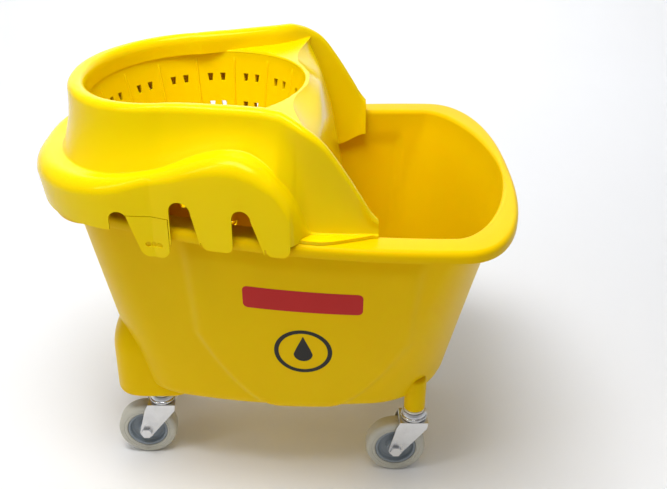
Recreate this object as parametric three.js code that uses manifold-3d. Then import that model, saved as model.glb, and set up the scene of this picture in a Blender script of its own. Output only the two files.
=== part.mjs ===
// Rolling mop bucket with a lift-off funnel wringer, in millimetres, +Z up, standing on z = 0.
// X runs along the bucket: the wringer sits over the narrow -X end and the pouring end is +X.
import * as THREE from 'three';
import { mergeVertices } from 'three/addons/utils/BufferGeometryUtils.js';
import Module from 'manifold-3d';

const wasm = await Module();
wasm.setup();

// ---------------------------------------------------------------- driving dimensions
const FIT = 0.3; // gap between pieces that seat on or in one another
const SOCKET_STEP = 14; // bucket floor above the underside of the sockets
const BUCKET_DEPTH = 271; // bucket underside to rim top
const TUB_WALL = 4;
const TUB_RIGHT = 278; // outer wall at the rim, pouring end
const TUB_LEFT = -242; // outer wall at the rim, wringer end
const TUB_HALF_WIDTH = 188.8; // outer wall at the rim, at its widest
const WIDEST_X = 185;
const SIDE_BOW = TUB_HALF_WIDTH * 3.26e-6; // the walls draw in by this times (x - WIDEST_X) squared
const RIM_OVERHANG = 31; // at the sides
const RIM_LEFT_OVERHANG = 15;
const RIM_RIGHT_OVERHANG = 7;
const RIM_ROUND = 6;
const RIM_SKIRT = 13.5;
const RIM_END_SKIRT = 20; // the rim's skirt is deeper at the wringer end
const FLOOR_ROUND = 14;

const WRINGER_HEIGHT = 127.5; // rim top to the crest of the wringer
const WRINGER_WALL = 3.6;
const CREST_WIDTH = 20;
const WING_WIDTH = 12;
const WING_TIP = 118; // pouring end of the wings
const CREST_TURN_X = -102; // where the crest leaves the sides for the round end
const CREST_END = 123; // crest beyond that
const LIP_TURN_X = -120; // where the lip does
const LIP_REACH = 153;
const MOUTH_X = -87; // axis of the funnel
const MOUTH_RADIUS = 126;
const MOUTH_TILT = 0.055; // rise of the mouth toward the pouring end, radians
const MOUTH_DROP = 25.5; // crest to the plane of the mouth, on the funnel's axis
const COLLAR_DEPTH = 14;
const BASKET_DEPTH = 205;
const BASKET_FOOT_RADIUS = 88;
const BASKET_WALL = 3;
const RIB_COUNT = 16;
const RIB_PHASE = 0.133; // turn of the first rib from the pouring end, radians
const RIB_DEPTH = 2.5;
const RIB_WIDTH = 3;
const HOLE_ROWS = 3;
const HOLE_PITCH = 35;
const HOLE_WIDTH = 7;
const HOLE_HEIGHT = 10;

const WHEEL_DIAMETER = 75;
const WHEEL_CLEARANCE = 6; // tread to the top of the fork
const RACE_HEIGHT = 10.1;
const SLEEVE_LIP_HEIGHT = 3;
const TREAD_WIDTH = 22;
const HUB_RADIUS = 26;
const SWIVEL_TRAIL = 22;
const AXLE_RADIUS = 4;
const BUSH_WALL = 2;
const FORK_GAUGE = 2.5;
const STEM_RADIUS = 5.5;
const STEM_LENGTH = 40;
const SLEEVE_WALL = 4;
const SOCKET_WALL = 3.2;
const FRONT_CASTER = [176, 106];
const REAR_CASTER = [-146, 72];

// ---------------------------------------------------------------- sizes that follow from them
const FORK_TOP = WHEEL_DIAMETER + WHEEL_CLEARANCE;
const RACE_BASE = FORK_TOP + FIT;
const RACE_TOP = RACE_BASE + RACE_HEIGHT;
const SLEEVE_LIP = RACE_TOP + FIT + SLEEVE_LIP_HEIGHT;
const BASE_Z = SLEEVE_LIP + FIT; // underside of the caster sockets above the floor
const TUB_FLOOR = BASE_Z + SOCKET_STEP;
const RIM_TOP = TUB_FLOOR + BUCKET_DEPTH;
const CREST_Z = RIM_TOP + WRINGER_HEIGHT;
const WALL_TOP = RIM_TOP - 10;
const SLEEVE_RADIUS = STEM_RADIUS + FIT + SLEEVE_WALL;
const BORE_RADIUS = SLEEVE_RADIUS + FIT;
const SOCKET_RADIUS = BORE_RADIUS + SOCKET_WALL;
const WHEEL_RADIUS = WHEEL_DIAMETER / 2;
const MIDDLE_X = (TUB_RIGHT + RIM_RIGHT_OVERHANG + LIP_TURN_X - LIP_REACH) / 2;

// ---------------------------------------------------------------- solids
function toManifold(geometry) {
  const bare = geometry.index ? geometry.toNonIndexed() : geometry.clone();
  for (const name of Object.keys(bare.attributes)) {
    if (name !== 'position') bare.deleteAttribute(name);
  }
  const merged = mergeVertices(bare, 1e-4);
  const vertProperties = new Float32Array(merged.attributes.position.array);
  const triVerts = new Uint32Array(merged.index.array);
  return new wasm.Manifold(new wasm.Mesh({ numProp: 3, vertProperties, triVerts }));
}

function toGeometry(solid) {
  const mesh = solid.getMesh();
  const geometry = new THREE.BufferGeometry();
  geometry.setAttribute('position', new THREE.BufferAttribute(new Float32Array(mesh.vertProperties), 3));
  geometry.setIndex(new THREE.BufferAttribute(new Uint32Array(mesh.triVerts), 1));
  const flat = geometry.toNonIndexed();
  flat.computeVertexNormals();
  return flat;
}

function join(...solids) {
  return solids.reduce((sum, solid) => sum.add(solid));
}

function cut(solid, ...tools) {
  return tools.reduce((rest, tool) => rest.subtract(tool), solid);
}

// A body from rings of points, each ring with as many points as the next.
function skin(rings, { loop = false, strip = false } = {}) {
  const count = rings[0].length;
  const position = [];
  for (const ring of rings) {
    for (const p of ring) position.push(p.x, p.y, p.z);
  }
  const index = [];
  const last = loop ? rings.length : rings.length - 1;
  for (let i = 0; i < last; i += 1) {
    const a = i * count;
    const b = ((i + 1) % rings.length) * count;
    for (let j = 0; j < count; j += 1) {
      const k = (j + 1) % count;
      index.push(a + j, b + j, b + k, a + j, b + k, a + k);
    }
  }
  if (!loop) {
    const end = (rings.length - 1) * count;
    if (strip) {
      for (let i = 0; i < count / 2 - 1; i += 1) {
        const [a, b, c, d] = [i, i + 1, count - 2 - i, count - 1 - i];
        index.push(a, b, c, a, c, d);
        index.push(end + a, end + c, end + b, end + a, end + d, end + c);
      }
    } else {
      addFan(position, index, rings[0], 0, true);
      addFan(position, index, rings[rings.length - 1], end, false);
    }
  }
  const geometry = new THREE.BufferGeometry();
  geometry.setAttribute('position', new THREE.Float32BufferAttribute(position, 3));
  geometry.setIndex(index);
  return outward(geometry);
}

function addFan(position, index, ring, start, first) {
  const centre = new THREE.Vector3();
  for (const p of ring) centre.add(p);
  centre.divideScalar(ring.length);
  const hub = position.length / 3;
  position.push(centre.x, centre.y, centre.z);
  for (let j = 0; j < ring.length; j += 1) {
    const k = (j + 1) % ring.length;
    if (first) index.push(start + j, start + k, hub);
    else index.push(start + k, start + j, hub);
  }
}

function signedVolume(geometry) {
  const p = geometry.attributes.position;
  const index = geometry.index;
  const a = new THREE.Vector3();
  const b = new THREE.Vector3();
  const c = new THREE.Vector3();
  let sum = 0;
  for (let i = 0; i < index.count; i += 3) {
    a.fromBufferAttribute(p, index.getX(i));
    b.fromBufferAttribute(p, index.getX(i + 1));
    c.fromBufferAttribute(p, index.getX(i + 2));
    sum += a.dot(b.cross(c)) / 6;
  }
  return sum;
}

function outward(geometry) {
  if (signedVolume(geometry) > 0) return geometry;
  const index = geometry.index.array;
  for (let i = 0; i < index.length; i += 3) {
    [index[i + 1], index[i + 2]] = [index[i + 2], index[i + 1]];
  }
  return geometry;
}

// A body turned about Z from [radius, height] points that close on themselves or on the axis.
function turned(points, segments = 32) {
  const profile = points.map(([r, z]) => new THREE.Vector2(r, z));
  if (points[0][0] > 0) profile.push(profile[0].clone());
  const geometry = new THREE.LatheGeometry(profile, segments);
  geometry.rotateX(Math.PI / 2);
  return toManifold(cleaned(geometry));
}

// Merges the seam of a lathe and drops the slivers on its axis.
function cleaned(geometry) {
  const bare = geometry.clone();
  bare.deleteAttribute('normal');
  bare.deleteAttribute('uv');
  const merged = mergeVertices(bare, 1e-4);
  const index = [];
  const old = merged.index.array;
  for (let i = 0; i < old.length; i += 3) {
    const [a, b, c] = [old[i], old[i + 1], old[i + 2]];
    if (a !== b && b !== c && c !== a) index.push(a, b, c);
  }
  merged.setIndex(index);
  return outward(merged);
}

// A plate of an [x, y] outline between two heights.
function plate(outline, z0, z1) {
  const shape = new THREE.Shape(outline.map(([x, y]) => new THREE.Vector2(x, y)));
  const geometry = new THREE.ExtrudeGeometry(shape, { depth: z1 - z0, bevelEnabled: false });
  geometry.translate(0, 0, z0);
  return toManifold(geometry);
}

// A plate of an [x, z] outline standing across Y from y0 to y1.
function upright(outline, y0, y1) {
  const shape = new THREE.Shape(outline.map(([x, z]) => new THREE.Vector2(x, z)));
  const geometry = new THREE.ExtrudeGeometry(shape, { depth: y1 - y0, bevelEnabled: false });
  geometry.rotateX(Math.PI / 2);
  geometry.translate(0, y1, 0);
  return toManifold(geometry);
}

// ---------------------------------------------------------------- curves
// A smooth curve through [x, value] points, in rising x.
function through(points) {
  return (x) => {
    const last = points.length - 1;
    if (x <= points[0][0]) return points[0][1];
    if (x >= points[last][0]) return points[last][1];
    let i = 0;
    while (x > points[i + 1][0]) i += 1;
    const [x1, y1] = points[i];
    const [x2, y2] = points[i + 1];
    const [x0, y0] = points[Math.max(i - 1, 0)];
    const [x3, y3] = points[Math.min(i + 2, last)];
    const h = x2 - x1;
    const m1 = i > 0 ? (y2 - y0) / (x2 - x0) : (y2 - y1) / h;
    const m2 = i + 2 <= last ? (y3 - y1) / (x3 - x1) : (y2 - y1) / h;
    const t = (x - x1) / h;
    const t2 = t * t;
    const t3 = t2 * t;
    return (2 * t3 - 3 * t2 + 1) * y1 + (t3 - 2 * t2 + t) * h * m1
      + (-2 * t3 + 3 * t2) * y2 + (t3 - t2) * h * m2;
  };
}

function mix(a, b, t) {
  return a + (b - a) * t;
}

function ease(t) {
  const c = Math.min(Math.max(t, 0), 1);
  return c * c * (3 - 2 * c);
}

// ---------------------------------------------------------------- plan outlines of the bucket
// An egg: bowed sides and a superellipse at each end.
const WALL_AT_RIM = {
  left: TUB_LEFT, leftRun: 62, leftPower: 2.6,
  right: TUB_RIGHT, rightRun: 78, rightPower: 1.75,
  half: TUB_HALF_WIDTH, widest: WIDEST_X, bow: SIDE_BOW,
};
const WALL_AT_FLOOR = {
  left: TUB_LEFT + 58, leftRun: 70, leftPower: 2.3,
  right: TUB_RIGHT - 58, rightRun: 108, rightPower: 2,
  half: TUB_HALF_WIDTH - 60.5, widest: 55, bow: 7.2e-4,
};
const RIM_OUTLINE = {
  left: TUB_LEFT - RIM_LEFT_OVERHANG, leftRun: 56, leftPower: 2.9,
  right: TUB_RIGHT + RIM_RIGHT_OVERHANG, rightRun: 84, rightPower: 2.4,
  half: TUB_HALF_WIDTH + RIM_OVERHANG, widest: WIDEST_X, bow: SIDE_BOW,
};

function blendOutline(a, b, t) {
  const out = {};
  for (const key of Object.keys(a)) out[key] = mix(a[key], b[key], t);
  return out;
}

const SIDE_STEPS = 7;
const END_STEPS = 5;

// Half of an egg from its right tip to its left tip, on the -Y side.
function halfEgg(egg) {
  const points = [];
  const halfAt = (x) => egg.half - egg.bow * (x - egg.widest) ** 2;
  const rightStart = egg.right - egg.rightRun;
  const leftStart = egg.left + egg.leftRun;
  for (let i = 0; i <= END_STEPS; i += 1) {
    const angle = (i / END_STEPS) * Math.PI / 2;
    const x = rightStart + egg.rightRun * Math.cos(angle) ** (2 / egg.rightPower);
    points.push([x, -halfAt(Math.min(x, rightStart)) * Math.sin(angle) ** (2 / egg.rightPower)]);
  }
  for (let i = 1; i < SIDE_STEPS; i += 1) {
    const x = mix(rightStart, leftStart, i / SIDE_STEPS);
    points.push([x, -halfAt(x)]);
  }
  for (let i = END_STEPS; i >= 0; i -= 1) {
    const angle = (i / END_STEPS) * Math.PI / 2;
    const x = leftStart - egg.leftRun * Math.cos(angle) ** (2 / egg.leftPower);
    points.push([x, -halfAt(x) * Math.sin(angle) ** (2 / egg.leftPower)]);
  }
  return points;
}

// The whole outline at one height, moved outward by "grow" (inward when it is negative).
function eggRing(egg, z, grow = 0) {
  const half = halfEgg(egg);
  const mirrored = half.slice(1, -1).reverse().map(([x, y]) => [x, -y]);
  const ring = half.concat(mirrored);
  const count = ring.length;
  return ring.map(([x, y], i) => {
    const [xa, ya] = ring[(i + count - 1) % count];
    const [xb, yb] = ring[(i + 1) % count];
    const length = Math.hypot(xb - xa, yb - ya);
    const nx = -(yb - ya) / length;
    const ny = (xb - xa) / length;
    const height = typeof z === 'function' ? z(x) : z;
    return new THREE.Vector3(x + nx * grow, y + ny * grow, height);
  });
}

// The pressed panel on each side wall stands proud inside a U-shaped line.
const PANEL = { centre: 37, halfTop: 131, low: TUB_FLOOR - 3, rise: 4.5, soft: 12 };

function panelRise(x, z) {
  const up = Math.max((z - PANEL.low) / (RIM_TOP - 30 - PANEL.low), 0);
  const half = PANEL.halfTop * Math.min(up * 2.1, 1) ** 0.42 * (0.88 + 0.12 * up);
  return PANEL.rise * ease((half - Math.abs(x - PANEL.centre)) / PANEL.soft + 0.5);
}

function wallRing(z, grow) {
  const t = (z - TUB_FLOOR) / (WALL_TOP - TUB_FLOOR);
  const egg = blendOutline(WALL_AT_FLOOR, WALL_AT_RIM, Math.min(Math.max(t, 0), 1));
  const low = Math.max(TUB_FLOOR + FLOOR_ROUND - z, 0);
  const tuck = FLOOR_ROUND - Math.sqrt(Math.max(FLOOR_ROUND ** 2 - low ** 2, 0));
  return eggRing(egg, z, grow - tuck).map((p) => {
    const fade = ease((WALL_TOP - 12 - z) / 30);
    const side = Math.abs(p.y) > 60 ? 1 : 0;
    const push = panelRise(p.x, z) * fade * side;
    return new THREE.Vector3(p.x, p.y + Math.sign(p.y) * push, z);
  });
}

function tubShell() {
  const rings = [];
  const heights = [0, 3, 8, FLOOR_ROUND].map((h) => TUB_FLOOR + h);
  for (let i = 1; i <= 5; i += 1) heights.push(mix(TUB_FLOOR + FLOOR_ROUND, RIM_TOP - 25, i / 5));
  const inner = TUB_WALL;
  rings.push(...heights.map((z) => wallRing(z, 0)));
  const under = RIM_TOP - TUB_WALL;
  rings.push(eggRing(WALL_AT_RIM, WALL_TOP, 0));
  rings.push(eggRing(WALL_AT_RIM, under, 1));
  const skirtZ = (x) => RIM_TOP - mix(RIM_END_SKIRT, RIM_SKIRT, ease((x - TUB_LEFT - 10) / 70));
  rings.push(eggRing(RIM_OUTLINE, under, -TUB_WALL));
  rings.push(eggRing(RIM_OUTLINE, skirtZ, -TUB_WALL + 0.4));
  rings.push(eggRing(RIM_OUTLINE, skirtZ, 0));
  for (let i = 0; i <= 3; i += 1) {
    const angle = (i / 3) * Math.PI / 2;
    const grow = -RIM_ROUND * (1 - Math.cos(angle));
    rings.push(eggRing(RIM_OUTLINE, RIM_TOP - RIM_ROUND * (1 - Math.sin(angle)), grow));
  }
  for (let i = 0; i <= 3; i += 1) {
    const angle = (i / 3) * Math.PI / 2;
    const grow = -inner + RIM_ROUND * (1 - Math.sin(angle));
    rings.push(eggRing(WALL_AT_RIM, RIM_TOP - RIM_ROUND * (1 - Math.cos(angle)), grow));
  }
  for (const z of heights.slice(3).reverse()) rings.push(wallRing(z, -inner));
  rings.push(wallRing(TUB_FLOOR + 9, -inner - 1));
  rings.push(wallRing(TUB_FLOOR + 8, -inner - 7).map((p) => p.setZ(TUB_FLOOR + 5)));
  rings.push(wallRing(TUB_FLOOR + 8, -inner - 14).map((p) => p.setZ(TUB_FLOOR + TUB_WALL)));
  return toManifold(skin(rings));
}

// The caster housing: a lobed foot across the narrow end, hollow from below.
const FOOT = { left: -206, right: -96, half: 91, top: TUB_FLOOR + 96 };

function footRing(z, inset) {
  const ring = [];
  const halfX = (FOOT.right - FOOT.left) / 2 - inset;
  const halfY = FOOT.half - inset;
  const centre = (FOOT.right + FOOT.left) / 2;
  const count = 28;
  for (let i = 0; i < count; i += 1) {
    const angle = (i / count) * Math.PI * 2;
    const c = Math.cos(angle);
    const s = Math.sin(angle);
    const x = centre + halfX * Math.sign(c) * Math.abs(c) ** 0.5;
    const y = halfY * Math.sign(s) * Math.abs(s) ** 0.5;
    const dip = 7 * Math.exp(-((y / 26) ** 2)) * (x < centre ? 1 : 0);
    ring.push(new THREE.Vector3(x + dip, y, z));
  }
  return ring;
}

function castersAt() {
  const places = [];
  for (const [end, [x, y]] of [['front', FRONT_CASTER], ['rear', REAR_CASTER]]) {
    for (const [side, sign] of [['near', -1], ['far', 1]]) {
      places.push({ name: `${end}_${side}`, x, y: sign * y });
    }
  }
  return places;
}

function tub() {
  const rounding = 7;
  const foot = toManifold(skin([
    footRing(BASE_Z, rounding),
    footRing(BASE_Z + 2, 2.4),
    footRing(BASE_Z + rounding, 0),
    footRing(TUB_FLOOR + 50, 0),
    footRing(FOOT.top - 12, 9),
    footRing(FOOT.top, 16),
  ]));
  const pocket = toManifold(skin([
    footRing(BASE_Z - 1, TUB_WALL + 1.5),
    footRing(TUB_FLOOR + 48, TUB_WALL),
    footRing(FOOT.top - 16, 12 + TUB_WALL),
  ]));
  const shell = tubShell();
  const envelope = tubEnvelope();
  let solid = join(shell, cut(foot, pocket, envelope));
  for (const { x, y } of castersAt()) {
    const boss = turned([
      [0, BASE_Z],
      [SOCKET_RADIUS - 3, BASE_Z],
      [SOCKET_RADIUS, BASE_Z + 3],
      [SOCKET_RADIUS, BASE_Z + STEM_LENGTH + 7],
      [0, BASE_Z + STEM_LENGTH + 7],
    ], 16).translate([x, y, 0]);
    solid = join(solid, boss);
  }
  const [rearX, rearY] = REAR_CASTER;
  const web = [[rearX - 2, -rearY], [rearX + 2, -rearY], [rearX + 2, rearY], [rearX - 2, rearY]];
  solid = join(solid, plate(web, BASE_Z + 4, TUB_FLOOR + TUB_WALL / 2));
  for (const { x, y } of castersAt()) {
    const bore = turned([
      [0, BASE_Z - 1],
      [BORE_RADIUS, BASE_Z - 1],
      [BORE_RADIUS, BASE_Z + STEM_LENGTH + 3],
      [0, BASE_Z + STEM_LENGTH + 3],
    ], 14).translate([x, y, 0]);
    solid = cut(solid, bore);
  }
  return solid;
}

// Everything inside the bucket's inner wall, used to keep the foot out of it.
function tubEnvelope() {
  const rings = [TUB_FLOOR + TUB_WALL, TUB_FLOOR + 20, TUB_FLOOR + 60, TUB_FLOOR + 110, TUB_FLOOR + 170]
    .map((z) => wallRing(z, -TUB_WALL + 0.5));
  return toManifold(skin(rings));
}

// ---------------------------------------------------------------- wringer shroud
// The wringer's sections stand on stations from a wing tip (x = WING_TIP) round the narrow end.
// "Along" is x on the sides and runs on from CREST_TURN_X round the end.
const END_ALONG = -262; // "along" at the middle of the round end
const TAB_END = 33; // the lip starts to die away here
const LIP_END = 51; // and has gone here

const crestHeight = through([
  [END_ALONG, -10], [-180, -8.5], [-130, -5.5], [-90, -2.5], [-60, -1.5], [-20, 0], [10, 0.5],
  [20, -0.5], [40, -9.5], [60, -24], [80, -51], [100, -83], [110, -100], [WING_TIP, -110],
]);
const crestInset = through([
  [CREST_TURN_X, 57.3], [-60, 48.8], [-20, 38.8], [0, 32.8], [20, 22.8], [40, 11.8], [60, 7.8], [WING_TIP, 6.8],
]);
const creaseHeight = through([
  [END_ALONG, 40], [-200, 44], [-160, 47], [-130, 52], [-102, 61], [-86, 68], [-65, 78], [-47, 84.5],
  [-31, 87.5], [-12, 87], [9, 77], [24, 61], [37, 38], [45, 13], [LIP_END, 6], [WING_TIP, 4.5],
]);

// How far the skirt hangs below the rim top.
const skirtDrop = through([[CREST_TURN_X, 16], [-50, 16], [0, 14], [TAB_END, 13]]);
const END_DROP = 5.5; // round the narrow end

const LIP_OVERHANG = 5.4; // beyond the bucket's rim

function crestHalf(x) {
  return TUB_HALF_WIDTH - crestInset(x);
}

function lipHalf(x) {
  return TUB_HALF_WIDTH + RIM_OVERHANG + LIP_OVERHANG - SIDE_BOW * (x - WIDEST_X) ** 2;
}

const SIDE_ALONG = [
  WING_TIP, 104, 86, 68, LIP_END, 43, TAB_END + 0.4, TAB_END, 20, 4, -16, -40, -64, -86, CREST_TURN_X,
];
const TURN_STEPS = 7;

function station(along, turn) {
  const angle = turn * Math.PI / 2;
  const crest = new THREE.Vector2();
  const lip = new THREE.Vector2();
  if (turn === 0) {
    crest.set(along, -crestHalf(along));
    const shift = 18 * ease((WING_TIP - along) / 220);
    lip.set(along - shift, -lipHalf(along - shift));
  } else {
    const power = 2 / 2.05;
    const crestX = CREST_TURN_X - CREST_END * Math.sin(angle) ** power;
    crest.set(crestX, -crestHalf(CREST_TURN_X) * Math.cos(angle) ** power);
    const fullness = 2 / 2.25;
    const lipX = LIP_TURN_X - LIP_REACH * Math.sin(angle) ** fullness;
    lip.set(lipX, -lipHalf(LIP_TURN_X) * Math.cos(angle) ** fullness);
  }
  const reach = lip.distanceTo(crest);
  const out = lip.clone().sub(crest).normalize();
  const s = turn === 0 ? along : mix(CREST_TURN_X, END_ALONG, turn);
  const crestZ = CREST_Z + crestHeight(s);
  const creaseZ = RIM_TOP + creaseHeight(s);
  const lean = mix(0.28, 0.13, turn);
  let crease = 6 + lean * (crestZ - creaseZ);
  let lipReach = reach;
  let skirtZ = RIM_TOP - (turn > 0 ? END_DROP : skirtDrop(along));
  if (along > TAB_END && turn === 0) {
    crease = Math.min(crease, Math.max(TUB_HALF_WIDTH - 2.3 - crestHalf(along), 3.5));
    lipReach = mix(reach, crease + 3, ease((along - TAB_END) / (LIP_END - TAB_END)) ** 0.7);
    skirtZ = RIM_TOP + FIT;
  }
  if (turn === 0 && along <= TAB_END) crease = Math.min(crease, TUB_HALF_WIDTH - 1.8 - crestHalf(along));
  const wing = turn === 0 ? ease((along - 10) / 60) : 0;
  const mouthZ = CREST_Z - MOUTH_DROP + Math.tan(MOUTH_TILT) * (crest.x - MOUTH_X);
  const tailZ = RIM_TOP - mix(42, 27, ease((along - 79) / 39));
  const innerZ = mix(mouthZ - 6, tailZ, turn === 0 ? ease((along - 34) / 24) : 0);
  return { crest, out, crestZ, creaseZ, crease, lipReach, skirtZ, wing, innerZ, turn, along };
}

// The outer face of one section, as [reach, height] from the skirt up over the crest.
function outerFace(st) {
  const { crestZ, creaseZ, crease, lipReach, skirtZ, wing, innerZ } = st;
  const ledge = lipReach - crease;
  const bull = Math.min(18, ledge * 0.75, Math.max(creaseZ - skirtZ - 4, 1));
  const points = [];
  const bottomTuck = st.turn > 0 ? 6 * st.turn : 0;
  points.push([lipReach - bottomTuck, skirtZ]);
  const steps = 3;
  for (let i = 0; i <= steps; i += 1) {
    const angle = (i / steps) * Math.PI / 2;
    points.push([lipReach - bull * (1 - Math.cos(angle)), creaseZ - 1 - bull * (1 - Math.sin(angle))]);
  }
  points.push([crease + ledge * 0.06, creaseZ - 0.4]);
  points.push([crease, creaseZ + 1.6]);
  const rise = crestZ - creaseZ;
  const roll = Math.min(6, rise * 0.3);
  const shoulder = roll * mix(1.5, 1, wing);
  for (const t of [0.3, 0.65]) {
    const hollow = 3.2 * Math.sin(t * Math.PI) * Math.min(rise / 60, 1);
    points.push([mix(crease, roll, t) - hollow, mix(creaseZ, crestZ - shoulder, t)]);
  }
  for (let i = 0; i <= 2; i += 1) {
    const angle = (i / 3) * Math.PI / 2;
    points.push([roll - shoulder * (1 - Math.cos(angle)), crestZ - shoulder * (1 - Math.sin(angle))]);
  }
  const width = mix(CREST_WIDTH, WING_WIDTH, wing);
  points.push([roll - shoulder, crestZ]);
  points.push([-(width - 2 * roll) * 0.6, crestZ - 0.4]);
  points.push([-(width - roll) * 0.85, crestZ - roll * 0.7]);
  points.push([-(width - roll), crestZ - roll * 1.9]);
  const footIn = mix(-(width - roll) - 1, -(width + 3), wing);
  points.push([footIn, innerZ]);
  return points;
}

// Offsets an open line by the wall, to its right-hand side.
function offsetLine(line, wall) {
  return line.map(([x, z], i) => {
    const before = line[Math.max(i - 1, 0)];
    const after = line[Math.min(i + 1, line.length - 1)];
    const d1 = [x - before[0], z - before[1]];
    const d2 = [after[0] - x, after[1] - z];
    const l1 = Math.hypot(...d1) || 1;
    const l2 = Math.hypot(...d2) || 1;
    const n1 = i === 0 ? [d2[1] / l2, -d2[0] / l2] : [d1[1] / l1, -d1[0] / l1];
    const n2 = i === line.length - 1 ? n1 : [d2[1] / l2, -d2[0] / l2];
    const nx = n1[0] + n2[0];
    const nz = n1[1] + n2[1];
    const length = Math.hypot(nx, nz);
    const scale = Math.min(2 / length, 1.25) / length * wall;
    return [x - nx * scale, z - nz * scale];
  });
}

function sectionLoop(st) {
  const outer = outerFace(st);
  return outer.concat(offsetLine(outer, WRINGER_WALL).reverse());
}

function placeSection(st, loop, mirror) {
  return loop.map(([r, z]) => new THREE.Vector3(
    st.crest.x + st.out.x * r,
    (st.crest.y + st.out.y * r) * (mirror ? -1 : 1),
    z,
  ));
}

function shroudWall() {
  const near = SIDE_ALONG.map((along) => station(along, 0));
  for (let i = 1; i <= TURN_STEPS; i += 1) near.push(station(CREST_TURN_X, i / TURN_STEPS));
  const rings = near.map((st) => placeSection(st, sectionLoop(st), false));
  const far = near.slice(0, -1).reverse();
  rings.push(...far.map((st) => placeSection(st, sectionLoop(st), true)));
  return toManifold(skin(rings, { strip: true }));
}

// ---------------------------------------------------------------- wringer deck, collar, apron
const MOUTH_Z = CREST_Z - MOUTH_DROP;
const DECK_END = 34; // the apron's face is set out from here
const DECK_CORNER = 43; // and the deck's corners reach the wings here
const APRON_FOOT_X = 82;
const APRON_FOOT_Z = RIM_TOP - 48;
const APRON_HALF = TUB_HALF_WIDTH - 22;
const APRON_BOW = 13;
const deckEdge = through([[0, 44], [21, 42.5], [61, 30], [90, 28], [118, 32], [152, 40], [166, 43]]);

// Stands a solid made about the funnel's axis, with the mouth at z = 0, in its tilted place.
function tilted(solid) {
  return solid.rotate([0, -MOUTH_TILT * 180 / Math.PI, 0]).translate([MOUTH_X, 0, MOUTH_Z]);
}

function mouthPlane(x) {
  return MOUTH_Z + Math.tan(MOUTH_TILT) * (x - MOUTH_X);
}

function deck() {
  const near = [];
  for (const along of SIDE_ALONG.filter((x) => x <= DECK_CORNER)) near.push(station(along, 0));
  for (let i = 1; i <= TURN_STEPS; i += 1) near.push(station(CREST_TURN_X, i / TURN_STEPS));
  const edge = near.map((st) => {
    const inset = mix(CREST_WIDTH, WING_WIDTH, st.wing) - 6.5;
    return [st.crest.x - st.out.x * inset, st.crest.y - st.out.y * inset];
  });
  const front = [0, 0.13, 0.26, 0.39, 0.56, 0.74, 0.9].map((t) => {
    const y = edge[0][1] * t;
    return [deckEdge(-y), y];
  });
  const outline = front.concat(edge);
  const far = outline.slice(1, -1).reverse().map(([x, y]) => [x, -y]);
  const loop = outline.concat(far).map(([x, y]) => [x - MOUTH_X, y]);
  const collar = turned([
    [MOUTH_RADIUS, 0],
    [MOUTH_RADIUS + 3, 0],
    [MOUTH_RADIUS + 3, -WRINGER_WALL],
    [MOUTH_RADIUS + 2.6, -COLLAR_DEPTH],
    [MOUTH_RADIUS - 0.6, -COLLAR_DEPTH],
  ], 2 * RIB_COUNT);
  const hole = turned([
    [0, -WRINGER_WALL - 1],
    [MOUTH_RADIUS + 1, -WRINGER_WALL - 1],
    [MOUTH_RADIUS + 1, 1],
    [0, 1],
  ], 2 * RIB_COUNT);
  return tilted(join(cut(plate(loop, -WRINGER_WALL, 0), hole), collar));
}

// The apron bows forward round the funnel between the wings, and rolls into the deck at its top.
function apronBow(y) {
  return APRON_BOW * (1 - (y / APRON_HALF) ** 2);
}

const APRON_HEIGHTS = [1, 0.75, 0.5, 0.32, 0.2, 0.12, 0.06, 0.02];

function apron() {
  const rings = [];
  const count = 14;
  for (let k = 0; k <= count; k += 1) {
    const y = mix(-APRON_HALF, APRON_HALF, k / count);
    const edge = deckEdge(Math.abs(y));
    const top = mouthPlane(edge) - 0.05;
    const rolled = mix(0.09, 0.17, ease(Math.abs(y) / 90));
    const face = APRON_HEIGHTS.map((t) => {
      const belly = 7 * Math.sin(Math.PI * t ** 0.7);
      const x = mix(DECK_END + 3, APRON_FOOT_X, t) + belly + apronBow(y) * (1 - 0.6 * t);
      const turn = Math.sin(Math.min(t / rolled, 1) * Math.PI / 2);
      return [mix(edge, x, turn), mix(top, APRON_FOOT_Z, t)];
    });
    face.push([edge, top]);
    face.push([edge - 2, top - 0.1]);
    const back = offsetLine(face, WRINGER_WALL).reverse();
    rings.push(face.concat(back).map(([x, z]) => new THREE.Vector3(x, y, z)));
  }
  return toManifold(skin(rings, { strip: true }));
}

// The flat ears that lie on the rim beside the wings.
function ears() {
  const edge = -TUB_HALF_WIDTH;
  const outline = [
    [TAB_END + 1, edge - 12.2], [63, edge - 17.7], [WING_TIP - 1, edge + 0.3],
    [112, edge + 6.3], [LIP_END, edge + 9.8], [40, edge - 1.2],
  ];
  const near = plate(outline, RIM_TOP + FIT, RIM_TOP + FIT + WRINGER_WALL);
  return join(near, near.mirror([0, 1, 0]));
}

// Webs under the lip that stand on the rim.
function seats() {
  const webs = [];
  for (const turn of [0.25, 0.6, 1]) {
    const st = station(CREST_TURN_X, turn);
    const reach = st.crease + (st.lipReach - st.crease) * 0.36;
    const x = st.crest.x + st.out.x * reach;
    const y = st.crest.y + st.out.y * reach;
    const web = plate([[-5, -2], [5, -2], [5, 2], [-5, 2]], RIM_TOP + FIT, st.creaseZ - WRINGER_WALL)
      .rotate([0, 0, Math.atan2(st.out.y, st.out.x) * 180 / Math.PI])
      .translate([x, y, 0]);
    webs.push(web);
    if (turn < 1) webs.push(web.mirror([0, 1, 0]));
  }
  return join(...webs);
}

// ---------------------------------------------------------------- notches and latch tabs
const NOTCHES = [
  { left: -166, right: -145, foot: -134, top: 17 },
  { left: -99.6, right: -76, foot: -66, top: 35 },
  { left: -32.5, right: -13, foot: 2, top: 35 },
];
const LATCH = { left: -147.5, foot: -135, right: -101, hinge: 13.5, low: -36, round: 12 };
const LATCH_GAP = 0.9;

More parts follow.
